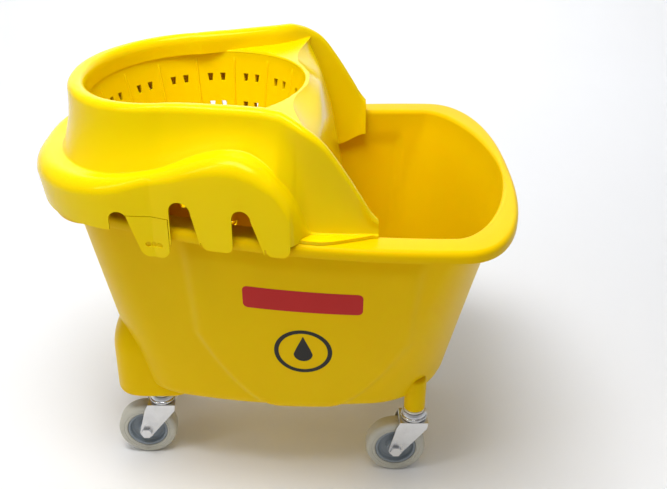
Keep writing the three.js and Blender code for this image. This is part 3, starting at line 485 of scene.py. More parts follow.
# ------------------------------------------------------------------ wringer shroud
crest_height = through([
    (END_ALONG, -10), (-180, -8.5), (-130, -5.5), (-90, -2.5), (-60, -1.5), (-20, 0), (10, 0.5),
    (20, -0.5), (40, -9.5), (60, -24), (80, -51), (100, -83), (110, -100), (WING_TIP, -110)])
crest_half = through([
    (-102, 131.5), (-60, 140), (-20, 150), (0, 156), (20, 166), (40, 177), (60, 181), (WING_TIP, 182)])
crease_height = through([
    (END_ALONG, 40), (-200, 44), (-160, 47), (-130, 52), (-102, 61), (-86, 68), (-65, 78), (-47, 84.5),
    (-31, 87.5), (-12, 87), (9, 77), (24, 61), (37, 38), (45, 13), (LIP_END, 6), (WING_TIP, 4.5)])
skirt_drop = through([(CREST_TURN_X, 16), (-50, 16), (0, 14), (TAB_END, 13)])


def lip_half(x):
    return LIP_HALF - SIDE_BOW * (x - WIDEST_X) ** 2


def station(along, turn):
    """One cross-section of the shroud: on a side at x = along, or round the end by turn."""
    angle = turn * math.pi / 2
    if turn == 0:
        crest = Vector((along, -crest_half(along)))
        shift = 18 * ease((WING_TIP - along) / 220)
        lip = Vector((along - shift, -lip_half(along - shift)))
    else:
        power = 2 / 2.05
        crest = Vector((CREST_TURN_X - CREST_END * math.sin(angle) ** power,
                        -crest_half(CREST_TURN_X) * abs(math.cos(angle)) ** power))
        power = 2 / 2.25
        lip = Vector((LIP_TURN_X - LIP_REACH * math.sin(angle) ** power,
                      -lip_half(LIP_TURN_X) * abs(math.cos(angle)) ** power))
    reach = (lip - crest).length
    out = (lip - crest).normalized()
    s = along if turn == 0 else mix(CREST_TURN_X, END_ALONG, turn)
    crest_z = CREST_Z + crest_height(s)
    crease_z = RIM_TOP + crease_height(s)
    crease = CREST_ROLL + mix(SIDE_LEAN, END_LEAN, turn) * (crest_z - crease_z)
    lip_reach = reach
    skirt = RIM_TOP - (END_DROP if turn > 0 else skirt_drop(along))
    if turn == 0 and along > TAB_END:
        crease = min(crease, max(186.5 - crest_half(along), 3.5))
        fade = ease((along - TAB_END) / (LIP_END - TAB_END)) ** 0.7
        lip_reach = mix(reach, crease + 3, fade)
        skirt = RIM_TOP + FIT
    if turn == 0 and along <= TAB_END:
        crease = min(crease, 187 - crest_half(along))
    wing = ease((along - 10) / 60) if turn == 0 else 0
    mouth = mouth_plane(crest.x)
    tail = RIM_TOP - mix(42, 27, ease((along - 79) / 39))
    inner_z = mix(mouth - 6, tail, ease((along - 34) / 24) if turn == 0 else 0)
    return dict(crest=crest, out=out, crest_z=crest_z, crease_z=crease_z, crease=crease,
                lip_reach=lip_reach, skirt=skirt, wing=wing, inner_z=inner_z, turn=turn)


def mouth_plane(x):
    return MOUTH_Z + math.tan(MOUTH_TILT) * (x - MOUTH_X)


def outer_face(st):
    """The outer line of one section, as [reach, height] from the skirt up over the crest."""
    ledge = st["lip_reach"] - st["crease"]
    crease_z, crest_z = st["crease_z"], st["crest_z"]
    bull = min(BULL_RADIUS, ledge * 0.75, max(crease_z - st["skirt"] - 4, 1))
    points = [(st["lip_reach"] - 6 * st["turn"], st["skirt"])]
    for angle in np.radians(np.linspace(0, 90, 10)):
        points.append((st["lip_reach"] - bull * (1 - math.cos(angle)),
                       crease_z - 1 - bull * (1 - math.sin(angle))))
    rise = crest_z - crease_z
    fillet = max(min(3.5, ledge * 0.12, rise * 0.2), 0.3)
    for angle in np.radians(np.linspace(-75, -15, 5)):
        points.append((st["crease"] + fillet * (1 - math.cos(angle)) + 0.2,
                       crease_z - 0.4 + fillet * (1 + math.sin(angle))))
    roll = min(CREST_ROLL, rise * 0.3)
    shoulder = roll * mix(1.5, 1, st["wing"])
    for t in np.linspace(0.12, 0.92, 9):
        hollow = WALL_HOLLOW * math.sin(t * math.pi) * min(rise / 60, 1)
        points.append((mix(st["crease"], roll, t) - hollow, mix(crease_z + 1.6, crest_z - shoulder, t)))
    for angle in np.radians(np.linspace(0, 90, 7)):
        points.append((roll - shoulder * (1 - math.cos(angle)),
                       crest_z - shoulder * (1 - math.sin(angle))))
    width = mix(CREST_WIDTH, WING_WIDTH, st["wing"])
    inner = -(width - roll)
    for angle in np.radians(np.linspace(0, 84, 8)):
        points.append((mix(-(width - 2 * roll) * 0.5 - 0.2, inner, math.sin(angle)),
                       crest_z - roll * 1.9 * (1 - math.cos(angle))))
    foot = mix(inner - 1, -(width + 3), st["wing"])
    for t in (0.15, 0.4, 0.7, 1):
        points.append((mix(inner, foot, t), mix(crest_z - roll * 1.9, st["inner_z"], t)))
    return points


def offset_line(line, wall):
    """The line moved by the wall to its right-hand side."""
    pts = np.array(line)
    way = np.diff(pts, axis=0)
    way /= np.maximum(np.linalg.norm(way, axis=1, keepdims=True), 1e-9)
    normal = np.stack([way[:, 1], -way[:, 0]], axis=1)
    before = np.vstack([normal[:1], normal])
    after = np.vstack([normal, normal[-1:]])
    both = before + after
    length = np.maximum(np.linalg.norm(both, axis=1, keepdims=True), 1e-9)
    return pts - both * np.minimum(2 / length, 1.25) / length * wall


def place_section(st, loop, side=1):
    crest, out = st["crest"], st["out"]
    return [(crest.x + out.x * r, (crest.y + out.y * r) * side, z) for r, z in loop]


WING_STATIONS = list(np.linspace(WING_TIP, TAB_END + 0.4, 40))
WING_STATIONS += list(np.linspace(TAB_END, CREST_TURN_X, 46))
TURN_STEPS = 44


def side_stations(wanted=lambda along: True, turns=TURN_STEPS):
    made = [station(along, 0) for along in WING_STATIONS if wanted(along)]
    return made + [station(CREST_TURN_X, i / TURN_STEPS) for i in range(1, turns + 1)]


def shroud_wall():
    stations = side_stations()
    loops = []
    for st in stations:
        line = outer_face(st)
        loops.append(line + [tuple(p) for p in offset_line(line, WRINGER_WALL)[::-1]])
    rings = [place_section(st, loop) for st, loop in zip(stations, loops)]
    rings += [place_section(st, loop, -1) for st, loop in list(zip(stations, loops))[-2::-1]]
    return skin("shroud_wall", rings, strip=True)


def tilted(made):
    """Stands a body made about the funnel's axis, with the mouth at z = 0, in its tilted place."""
    spun(made, -MOUTH_TILT, "Y")
    return moved(made, MOUTH_X - MIDDLE_X, 0, MOUTH_Z)


def apron_bow(y):
    return APRON_BOW * (1 - (y / APRON_HALF) ** 2)


deck_edge = through([(0, 44), (21, 42.5), (61, 30), (90, 28), (118, 32), (152, 40), (166, 43)])


def deck():
    edge = []
    for st in side_stations(lambda along: along <= DECK_CORNER):
        inset = mix(CREST_WIDTH, WING_WIDTH, st["wing"]) - 6.5
        edge.append((st["crest"].x - st["out"].x * inset, st["crest"].y - st["out"].y * inset))
    front = []
    for t in np.linspace(0, 1, 20)[:-1]:
        y = edge[0][1] * t
        front.append((deck_edge(-y), y))
    outline = front + edge
    outline += [(x, -y) for x, y in outline[-2:0:-1]]
    flat = plate("deck", [(x - MOUTH_X, y) for x, y in outline], -WRINGER_WALL, 0, shift=False)
    hole = turned("hole", [(0, -9), (MOUTH_RADIUS + 1, -9), (MOUTH_RADIUS + 1, 2), (0, 2)], 192)
    collar = turned("collar", arc(MOUTH_RADIUS + 2.2, -2.2, 2.2, 180, 90, 6)
                    + [(MOUTH_RADIUS + 4.4, 0), (MOUTH_RADIUS + 4.4, -WRINGER_WALL),
                       (MOUTH_RADIUS + 3.4, -WRINGER_WALL - 1), (MOUTH_RADIUS + 3.4, -COLLAR_DEPTH),
                       (MOUTH_RADIUS + 1.6, -COLLAR_DEPTH), (MOUTH_RADIUS + 1.6, -2.6),
                       (MOUTH_RADIUS, -2.6)], 192)
    return tilted(join(cut(flat, hole), collar))


def apron():
    """The apron bows forward round the funnel between the wings and rolls into the deck."""
    rings = []
    heights = list(np.linspace(1, 0.2, 14)) + list(np.linspace(0.18, 0.03, 12))
    heights += [0.022, 0.014, 0.008, 0.003]
    for y in np.linspace(-APRON_HALF, APRON_HALF, 61):
        edge = deck_edge(abs(y))
        top = mouth_plane(edge) - 0.05
        rolled = mix(0.09, 0.17, ease(abs(y) / 90))
        face = []
        for t in heights:
            belly = 7 * math.sin(math.pi * t ** 0.7)
            x = mix(DECK_END + 3, APRON_FOOT_X, t) + belly + apron_bow(y) * (1 - 0.6 * t)
            turn = math.sin(min(t / rolled, 1) * math.pi / 2)
            face.append((mix(edge, x, turn), mix(top, APRON_FOOT_Z, t)))
        face += [(edge, top), (edge - 2, top - 0.1)]
        back = [tuple(p) for p in offset_line(face, WRINGER_WALL)[::-1]]
        rings.append([(x, y, z) for x, z in face + back])
    return skin("apron", rings, strip=True)


def softened(outline, rounds=3):
    """Cuts the corners of a closed outline until they are round."""
    for _ in range(rounds):
        finer = []
        for (xa, ya), (xb, yb) in zip(outline, outline[1:] + outline[:1]):
            finer += [(mix(xa, xb, 0.18), mix(ya, yb, 0.18)), (mix(xa, xb, 0.82), mix(ya, yb, 0.82))]
        outline = finer
    return outline


def ears():
    outline = [(TAB_END + 1, -201), (63, -206.5), (117, -188.5),
               (112, -182.5), (LIP_END, -179), (40, -190)]
    near = plate("ear", softened(outline), RIM_TOP + FIT, RIM_TOP + FIT + WRINGER_WALL)
    return [near, mirrored(near)]


def seats():
    """Webs under the lip that stand on the rim."""
    webs = []
    for turn in (0.25, 0.6, 1):
        st = station(CREST_TURN_X, turn)
        reach = st["crease"] + (st["lip_reach"] - st["crease"]) * 0.36
        spot = st["crest"] + st["out"] * reach
        outline = [(-5, -2), (5, -2), (5, 2), (-5, 2)]
        web = plate("web", outline, RIM_TOP + FIT, st["crease_z"] - 2.6, False)
        spun(web, math.atan2(st["out"].y, st["out"].x))
        moved(web, spot.x - MIDDLE_X, spot.y)
        webs.append(web)
        if turn < 1:
            webs.append(mirrored(web))
    return webs


NOTCHES = [(-166, -145, -134, 17), (-99.6, -76, -66, 35), (-32.5, -13, 2, 35)]
LATCH = dict(left=-147.5, foot=-135, right=-101, hinge=13.5, low=-36, round=12)
LATCH_GAP = 0.9
SCALLOP_X = -125  # the first finger scallop
SCALLOP_PITCH = 6.4
SCALLOP_DROP = 20  # below the rim top


def notch_outline(left, right, foot, top):
    """An arch-topped slot, straight on its left side and flared on its right."""
    low = RIM_TOP - 60
    radius = (right - left) / 2
    points = [(left, low)] + arc(left + radius, RIM_TOP + top - radius, radius, 180, 0, 16)
    return (points + [(foot, RIM_TOP - 16), (foot + 2, low)])[::-1]


def latch_outline(grow):
    left, foot, right, round_off = LATCH["left"], LATCH["foot"], LATCH["right"], LATCH["round"]
    top, centre = RIM_TOP + LATCH["hinge"] + grow, RIM_TOP + LATCH["low"] + round_off
    return ([(left - grow, top)]
            + arc(foot + round_off, centre, round_off + grow, 195, 270, 10)
            + arc(right - round_off, centre, round_off + grow, 270, 360, 12)
            + [(right + grow, top)])


def both_sides(outline):
    return [upright("slot", outline, y0, y1) for y0, y1 in ((-260, -120), (120, 260))]


def latch_tab():
    """A flap of the skirt, hinged along its top, with three finger scallops."""
    bottom, top = RIM_TOP + LATCH["low"] - 4, RIM_TOP + LATCH["hinge"] + 4
    rings = []
    for st in side_stations(lambda along: along < -50, turns=26):
        reach = st["lip_reach"]
        loop = [(reach, top), (reach - 1.5, bottom),
                (reach - 1.5 - WRINGER_WALL, bottom), (reach - WRINGER_WALL, top)]
        rings.append(place_section(st, loop))
    tab = common(skin("latch_stock", rings), upright("blank", latch_outline(-LATCH_GAP), -230, -100))
    grooves = []
    for i in range(3):
        groove = turned("groove", [(0, -6), (2.2, -6)] + arc(2.2, -5, 1, -90, 0, 4)
                        + arc(2.2, 5, 1, 0, 90, 4) + [(0, 6)], 24)
        spun(groove, math.pi / 2, "X")
        x = SCALLOP_X + i * SCALLOP_PITCH
        grooves.append(moved(groove, x - MIDDLE_X, -lip_half(x) - 3.4, RIM_TOP - SCALLOP_DROP))
    return cut(tab, *grooves)


def corner_outline(x, side, radius):
    """What is cut away to round a tab's lower corner; side is 1 where the tab lies toward +X."""
    z = RIM_TOP - skirt_drop(x)
    curve = arc(x + side * radius, z + radius, radius, 270, 180 if side > 0 else 360, 8)
    return [(x - side * 1.5, z - 6), (x + side * radius, z - 6)] + curve + [(x - side * 1.5, z + radius)]


TAB_CORNERS = [(-65.6, 1, 8), (-32.5, -1, 8), (2.4, 1, 8), (27, -1, 8)]


def shroud():
    slots = [slot for notch in NOTCHES for slot in both_sides(notch_outline(*notch))]
    for corner in TAB_CORNERS:
        slots += both_sides(corner_outline(*corner))
    wall = cut(shroud_wall(), *slots, *both_sides(latch_outline(0)))
    keep_out = tilted(turned("well", [(0, -60), (MOUTH_RADIUS, -60), (MOUTH_RADIUS, -2), (0, -2)], 192))
    wall = cut(wall, keep_out)
    return join(wall, deck(), apron(), *ears(), *seats())


# ------------------------------------------------------------------ strainer basket
def basket():
    """The ribbed and pierced cone that the mop is pressed into."""
    top = -COLLAR_DEPTH - FIT
    foot = -BASKET_DEPTH

    def radius_at(z):
        return mix(MOUTH_RADIUS - 1, BASKET_FOOT_RADIUS, (top - z) / (BASKET_DEPTH + top))

    cup = turned("cup", [
        (0, foot - 6), (30, foot - 4), (BASKET_FOOT_RADIUS - 8, foot),
        (BASKET_FOOT_RADIUS - 2.5, foot + 1.8), (BASKET_FOOT_RADIUS, foot + 6),
        (radius_at(top - 5) + BASKET_WALL, top - 5), (MOUTH_RADIUS + FLANGE_WIDTH, top - 4),
        (MOUTH_RADIUS + FLANGE_WIDTH, top),
        (MOUTH_RADIUS + 1.3, top), (MOUTH_RADIUS + 1.3, -2.9), (MOUTH_RADIUS, -2.9),
        (MOUTH_RADIUS - 0.3, -8), (MOUTH_RADIUS - 1, top), (BASKET_FOOT_RADIUS - BASKET_WALL, foot + 8),
        (BASKET_FOOT_RADIUS - BASKET_WALL - 2.5, foot + 4.6), (BASKET_FOOT_RADIUS - 10, foot + 3),
        (30, foot - 1), (0, foot - 3)], 192)
    pitch = 2 * math.pi / RIB_COUNT
    ribs, holes = [], []
    for i in range(RIB_COUNT):
        turn = RIB_PHASE + i * pitch
        line = []
        for d in (0, 1, 2.5, 4.5, 6.5, RIB_RUN_OUT):
            depth = RIB_DEPTH * math.sin(d / RIB_RUN_OUT * math.pi / 2) + 0.05
            line.append((MOUTH_RADIUS - 0.3, depth, RIB_TOP - d))
        line += [(radius_at(foot) - BASKET_WALL, RIB_DEPTH, foot + 4.5)]
        ribs.append(spun(rib(line), turn))
        for row in range(HOLE_ROWS):
            z = top - FIRST_HOLES - row * HOLE_PITCH
            for side in (-1, 1):
                hole = hole_cutter(radius_at(z))
                moved(hole, 0, 0, z)
                holes.append(spun(hole, turn + pitch * (0.5 + 0.17 * side)))
        if i % 2 == 0:
            outline = [(36, -2.5), (74, -4.5), (74, 4.5), (36, 2.5)]
            slot = plate("slot", outline, foot - 12, foot + 12, False)
            holes.append(spun(slot, turn + pitch * 0.5))
    return tilted(cut(join(cup, *ribs), merged("holes", holes)))


def rib(line):
    """A round-backed rib down the inside of the wall, through (radius, depth, height) points."""
    half_width = RIB_HALF_WIDTH
    rings = []
    for radius, depth, z in line:
        back = [(radius - depth * math.sin(a), half_width * math.cos(a), z)
                for a in np.linspace(0, math.pi, 9)]
        rings.append([(radius + 1.8, half_width, z)] + back + [(radius + 1.8, -half_width, z)])
    return skin("rib", rings, shift=False)


def hole_cutter(radius):
    """A drain slot through the wall, wider at its top than at its foot."""
    outline = [(-3.5, 5), (-2.1, -5), (2.1, -5), (3.5, 5)]
    cutter = upright("hole", outline, 0, 16, False)
    spun(cutter, -math.pi / 2)
    return moved(cutter, radius - 8)


# ------------------------------------------------------------------ casters
FORK_GAP = TREAD_WIDTH + 4
FORK_TOP = 2 * WHEEL_RADIUS + 6
RACE_BASE = FORK_TOP + FIT
SLEEVE_LIP = BASE_Z - FIT
RACE_TOP = SLEEVE_LIP - 3 - FIT
HUB_WIDTH = FORK_GAP - 2
FORK_OUTER = FORK_GAP / 2 + FORK_GAUGE


def along_y(made):
    """Turns a body made about Z onto the wheel's axle."""
    spun(made, math.pi / 2, "X")
    return moved(made, -SWIVEL_TRAIL, 0, WHEEL_RADIUS)


def tyre():
    half = TREAD_WIDTH / 2
    corner = arc(WHEEL_RADIUS - 5, -half + 5, 5, -80, -5, 8)
    profile = [(HUB_RADIUS, -half + 0.6), (HUB_RADIUS + 0.8, -half), (HUB_RADIUS + 2.5, -half)]
    profile += [(HUB_RADIUS + 3, -half + 0.5), (HUB_RADIUS + 4, -half + 0.5), (HUB_RADIUS + 4.5, -half)]
    profile += corner
    profile += [(WHEEL_RADIUS, -4), (WHEEL_RADIUS, -0.35), (WHEEL_RADIUS - 0.25, 0)]
    profile += [(r, -z) for r, z in profile[-2::-1]]
    return along_y(turned("tyre", profile, 128))


def hub():
    rim = HUB_RADIUS - FIT
    half = TREAD_WIDTH / 2 - 1
    bore = BUSH_RADIUS + FIT
    boss = bore + 4
    end = HUB_WIDTH / 2
    side = [(bore, end), (boss - 0.8, end), (boss, end - 0.8), (boss + 0.6, 4.6),
            (boss + 2.2, 3.2), (rim - 6.5, 3.2), (rim - 4, 4.8), (rim - 3.2, half - 0.8),
            (rim - 2.4, half), (rim - 0.6, half), (rim, half - 0.6)]
    return along_y(turned("hub", side + [(r, -z) for r, z in side[::-1]], 96))


def hexagon(z0, z1):
    angles = np.radians(np.arange(6) * 60)
    corners = [(NUT_RADIUS * math.cos(a), NUT_RADIUS * math.sin(a)) for a in angles]
    return plate("hexagon", corners, z0, z1, False)


def ring(inner, outer, z0, z1):
    edge = 0.5
    return turned("ring", [(inner, z0), (outer - edge, z0), (outer, z0 + edge), (outer, z1 - edge),
                           (outer - edge, z1), (inner, z1)], 64)


def axle():
    end = FORK_OUTER
    shank = turned("shank", [(0, -end - 8), (AXLE_RADIUS - 0.8, -end - 8), (AXLE_RADIUS, -end - 7)]
                   + [p for k in range(5) for p in ((AXLE_RADIUS, -end - 6.2 + k * 1.2),
                                                    (AXLE_RADIUS - 0.35, -end - 5.6 + k * 1.2))]
                   + [(AXLE_RADIUS, end + 1), (0, end + 1)], 48)
    return along_y(join(shank, hexagon(end + FIT, end + FIT + 4)))


def round_hole(radius, z0, z1):
    return turned("hole", [(0, z0), (radius, z0), (radius, z1), (0, z1)], 48)


def nut():
    height = FORK_OUTER + FIT
    body = hexagon(-height - 6, -height)
    return along_y(cut(body, round_hole(AXLE_RADIUS + FIT, -40, 40)))


def fork():
    """A folded steel yoke whose legs sweep back to the axle."""
    crown = 17
    leg = [(crown, FORK_TOP), (crown - 1, FORK_TOP - 9)]
    leg += [(-SWIVEL_TRAIL + FORK_TIP * math.cos(a), WHEEL_RADIUS + FORK_TIP * math.sin(a))
            for a in np.linspace(-0.35, -3.1, 18)]
    leg += [(-crown - 5, FORK_TOP - 8), (-crown - 1, FORK_TOP)]
    block = upright("fork", leg, -FORK_OUTER, FORK_OUTER, False)
    under = FORK_TOP - FORK_GAUGE
    inside = [(-60, 0), (60, 0), (60, under), (-60, under)]
    gap = upright("gap", inside, -FORK_GAP / 2, FORK_GAP / 2, False)
    crown_hole = round_hole(STEM_RADIUS + FIT, 60, 100)
    axle_hole = along_y(round_hole(AXLE_RADIUS + FIT, -40, 40))
    return cut(block, gap, crown_hole, axle_hole)


def race_cup():
    inner = STEM_RADIUS + FIT
    bulge = arc(14.2, RACE_BASE + 2.6, 2.5, -85, 70, 10)
    return turned("race", [(inner, RACE_BASE)] + bulge
                  + [(14.6, RACE_BASE + 5.3), (15.6, RACE_BASE + 6.2), (15.4, RACE_BASE + 7.2),
                     (14, RACE_TOP), (inner, RACE_TOP)], 96)


def stem():
    rivet = FORK_TOP - FORK_GAUGE - FIT
    top = SLEEVE_LIP + STEM_LENGTH
    r = STEM_RADIUS
    head = [(0, rivet - 2.5), (r + 1, rivet - 2.5), (r + 2.5, rivet - 1), (r + 2.5, rivet), (r, rivet)]
    catch = [(r, top - 8), (r - 1, top - 7), (r - 1, top - 5), (r, top - 4), (r - 1.2, top), (0, top)]
    return turned("stem", head + catch, 48)


def sleeve():
    bore = STEM_RADIUS + FIT
    lip = SLEEVE_RADIUS + 3
    top = SLEEVE_LIP + STEM_LENGTH
    flange = [(bore, SLEEVE_LIP - 3), (lip - 1, SLEEVE_LIP - 3), (lip, SLEEVE_LIP - 2),
              (lip, SLEEVE_LIP - 0.5), (lip - 0.5, SLEEVE_LIP)]
    tube = [(SLEEVE_RADIUS, SLEEVE_LIP), (SLEEVE_RADIUS, top), (bore, top)]
    return turned("sleeve", flange + tube, 64)


# ------------------------------------------------------------------ printed marks
def wall_y(x, z):
    """The near wall's outer face at a spot on its side, in the outline's own x."""
    egg = wall_egg(z)
    half = egg["half"] - egg["bow"] * (x - egg["widest"]) ** 2
    return -half - panel_rise(x, z) * ease((WALL_TOP - 12 - z) / 30)


def print_layer(name, inside, x_range, z_range, colour, cell=1.6):
    """A thin layer of ink on both side walls wherever inside(x, z) is below zero."""
    xs = np.arange(x_range[0], x_range[1] + cell, cell)
    zs = np.arange(z_range[0], z_range[1] + cell, cell)
    field = bmesh.new()
    grid = [[field.verts.new((x, 0, z)) for x in xs] for z in zs]
    for row, above in zip(grid, grid[1:]):
        for a, b, c, d in zip(row, row[1:], above[1:], above):
            field.faces.new((a, b, c, d))
    away = [v for v in field.verts if inside(v.co.x, v.co.z) > 0.95 * cell]
    bmesh.ops.delete(field, geom=away, context="VERTS")
    for v in [v for v in field.verts if v.is_boundary]:
        for _ in range(4):
            here = inside(v.co.x, v.co.z)
            step = 0.05
            gx = (inside(v.co.x + step, v.co.z) - here) / step
            gz = (inside(v.co.x, v.co.z + step) - here) / step
            scale = here / max(gx * gx + gz * gz, 1e-6)
            v.co.x -= gx * scale
            v.co.z -= gz * scale
    body = bmesh.ops.extrude_face_region(field, geom=field.faces[:])
    lifted = {v for v in body["geom"] if isinstance(v, bmesh.types.BMVert)}
    for v in field.verts:
        v.co.y = wall_y(v.co.x, v.co.z) - (0.12 if v in lifted else -0.3)
        v.co = (v.co - Vector((MIDDLE_X, 0, 0))) * MM
    bmesh.ops.recalc_face_normals(field, faces=field.faces)
    mesh = bpy.data.meshes.new(name)
    field.to_mesh(mesh)
    field.free()
    near = bpy.data.objects.new(name + "_near", mesh)
    bpy.context.scene.collection.objects.link(near)
    far = mirrored(near)
    finish_piece(near, name + "_near", "bucket", colour)
    finish_piece(far, name + "_far", "bucket", colour)


def bar_field(x, z, centre=(38, 288), half=(67, 15), corner=6):
    """Distance to a rounded bar."""
    qx = abs(x - centre[0]) - half[0] + corner
    qz = abs(z - centre[1]) - half[1] + corner
    return math.hypot(max(qx, 0), max(qz, 0)) + min(max(qx, qz), 0) - corner


def ring_field(x, z, centre=(38, 212), radius=31, half=2.6):
    """Distance to a circle's line."""
    return abs(math.hypot(x - centre[0], z - centre[1]) - radius) - half


def drop_field(x, z, centre=(38, 208), radius=11, tip=17):
    """A water drop with its point upward."""
    up = max(z - centre[1], 0) / (radius + tip)
    width = radius * max(1 - up, 0) ** 0.75
    if z < centre[1]:
        return math.hypot(x - centre[0], z - centre[1]) - radius
    half = width * math.sqrt(max(1 - (up * 0.9) ** 2, 0))
    return max(abs(x - centre[0]) - half, z - centre[1] - radius - tip)


# ------------------------------------------------------------------ finishes
def add_node(tree, kind, place, **values):
    node = tree.nodes.new(kind)
    node.location = place
    for key, value in values.items():
        if key in node.inputs:
            node.inputs[key].default_value = value
        else:
            setattr(node, key, value)
    return node


def moulded_skin():
    """Fine mould grain, soft flow marks and a light film of dust and rubs."""
    group = bpy.data.node_groups.new("Moulded skin", "ShaderNodeTree")
    for name, value in (("Grain Size", 900.0), ("Flow Size", 7.0), ("Wear", 0.4)):
        socket = group.interface.new_socket(name, in_out="INPUT", socket_type="NodeSocketFloat")
        socket.default_value = value
    for name in ("Height", "Tone", "Wear"):
        group.interface.new_socket(name, in_out="OUTPUT", socket_type="NodeSocketFloat")
    source = add_node(group, "NodeGroupInput", (-900, 0))
    sink = add_node(group, "NodeGroupOutput", (700, 0))
    place = add_node(group, "ShaderNodeTexCoord", (-900, -300))
    grain = add_node(group, "ShaderNodeTexNoise", (-500, 250), Detail=2.0, Roughness=0.6)
    flow = add_node(group, "ShaderNodeTexNoise", (-500, 0), Detail=4.0, Roughness=0.5, Distortion=0.8)
    rubs = add_node(group, "ShaderNodeTexNoise", (-500, -280), Scale=34.0, Detail=7.0, Roughness=0.72)
    edges = add_node(group, "ShaderNodeNewGeometry", (-500, -560))
    link = group.links.new
    for node in (grain, flow, rubs):
        link(place.outputs["Object"], node.inputs["Vector"])
    link(source.outputs["Grain Size"], grain.inputs["Scale"])
    link(source.outputs["Flow Size"], flow.inputs["Scale"])
    worn = add_node(group, "ShaderNodeMapRange", (-250, -560))
    for key, value in (("From Min", 0.5), ("From Max", 0.62), ("To Min", 0.0), ("To Max", 1.0)):
        worn.inputs[key].default_value = value
    link(edges.outputs["Pointiness"], worn.inputs["Value"])
    patchy = add_node(group, "ShaderNodeMapRange", (-250, -280))
    for key, value in (("From Min", 0.5), ("From Max", 0.75), ("To Min", 0.0), ("To Max", 1.0)):
        patchy.inputs[key].default_value = value
    link(rubs.outputs["Fac"], patchy.inputs["Value"])
    both = add_node(group, "ShaderNodeMath", (0, -400), operation="ADD")
    link(worn.outputs["Result"], both.inputs[0])
    link(patchy.outputs["Result"], both.inputs[1])
    amount = add_node(group, "ShaderNodeMath", (250, -400), operation="MULTIPLY", use_clamp=True)
    link(both.outputs[0], amount.inputs[0])
    link(source.outputs["Wear"], amount.inputs[1])
    link(grain.outputs["Fac"], sink.inputs["Height"])
    link(flow.outputs["Fac"], sink.inputs["Tone"])
    link(amount.outputs[0], sink.inputs["Wear"])
    return group


SKIN = moulded_skin()


def finish(name, colour, deep, rough, wear=0.35, wear_colour=None, grain=900.0, flow=7.0, bump=0.02,
           rough_spread=0.10, **sockets):
    """A material whose tone, gloss and grain vary over the surface."""
    made = bpy.data.materials.new(name)
    made.use_nodes = True
    tree = made.node_tree
    shader = tree.nodes["Principled BSDF"]
    for key, value in sockets.items():
        shader.inputs[key.replace("_", " ")].default_value = value
    skin_node = add_node(tree, "ShaderNodeGroup", (-900, 0), node_tree=SKIN)
    skin_node.inputs["Grain Size"].default_value = grain
    skin_node.inputs["Flow Size"].default_value = flow
    skin_node.inputs["Wear"].default_value = wear
    tone = add_node(tree, "ShaderNodeValToRGB", (-600, 200))
    tone.color_ramp.elements[0].position = 0.3
    tone.color_ramp.elements[1].position = 0.7
    tone.color_ramp.elements[0].color = (*deep, 1)
    tone.color_ramp.elements[1].color = (*colour, 1)
    rubbed = add_node(tree, "ShaderNodeMix", (-250, 200), data_type="RGBA")
    pale = wear_colour or tuple(min(c * 1.12 + 0.03, 1) for c in colour)
    rubbed.inputs["B"].default_value = (*pale, 1)
    gloss = add_node(tree, "ShaderNodeMapRange", (-250, -60))
    gloss.inputs["To Min"].default_value = rough
    gloss.inputs["To Max"].default_value = min(rough + rough_spread, 1)
    relief = add_node(tree, "ShaderNodeBump", (-250, -320), Strength=bump, Distance=0.0006)
    link = tree.links.new
    link(skin_node.outputs["Tone"], tone.inputs["Fac"])
    link(tone.outputs["Color"], rubbed.inputs["A"])
    link(skin_node.outputs["Wear"], rubbed.inputs["Factor"])
    link(rubbed.outputs["Result"], shader.inputs["Base Color"])
    link(skin_node.outputs["Wear"], gloss.inputs["Value"])
    link(gloss.outputs["Result"], shader.inputs["Roughness"])
    link(skin_node.outputs["Height"], relief.inputs["Height"])
    link(relief.outputs["Normal"], shader.inputs["Normal"])
    return made


YELLOW_GLOW = dict(Subsurface_Weight=0.25, Subsurface_Scale=0.004, Subsurface_Radius=(1.0, 0.45, 0.01),
                   Specular_Tint=(1.0, 0.8, 0.25, 1.0))
# The tub and the wringer are one yellow plastic. The tub's colour is darker and more orange as painted
# shade for its shaded sides, and the wringer's colour is paler as painted light for its lit top.
TUB_YELLOW_PAINTED_SHADE = finish("Tub polypropylene with painted shade", (0.86, 0.575, 0.0), (0.845, 0.55, 0.0), 0.36, wear=0.05,
                    Specular_IOR_Level=0.08, **YELLOW_GLOW)
WRINGER_YELLOW_PAINTED_LIGHT = finish("Wringer polypropylene with painted light", (0.93, 0.68, 0.0), (0.915, 0.66, 0.0), 0.17, wear=0.05,
                        Specular_IOR_Level=0.25, **YELLOW_GLOW)
SLEEVE_NYLON = finish("Natural nylon", (0.82, 0.82, 0.78), (0.76, 0.76, 0.72), 0.4,
                      Subsurface_Weight=0.2, Subsurface_Scale=0.002)
ZINC = finish("Zinc plate", (0.66, 0.67, 0.69), (0.55, 0.56, 0.58), 0.26, wear=0.5, grain=500.0,
              flow=60.0, bump=0.05, Metallic=1.0)
BUSH_STEEL = finish("Turned steel", (0.55, 0.56, 0.58), (0.47, 0.48, 0.5), 0.32, grain=700.0,
                    Metallic=1.0)
HUB_GREY = finish("Grey hub nylon", (0.27, 0.31, 0.35), (0.23, 0.27, 0.31), 0.42, wear=0.3, bump=0.06)
TREAD = finish("Pale tread rubber", (0.58, 0.57, 0.49), (0.52, 0.51, 0.44), 0.55, wear=0.6, grain=600.0,
               flow=30.0, bump=0.12, wear_colour=(0.42, 0.41, 0.37))
RED_INK = finish("Red ink", (0.55, 0.012, 0.01), (0.5, 0.01, 0.008), 0.35, wear=0.05,
                 Specular_IOR_Level=0.2)
BLACK_INK = finish("Black ink", (0.02, 0.019, 0.017), (0.015, 0.015, 0.014), 0.35, wear=0.05,
                   Specular_IOR_Level=0.2)


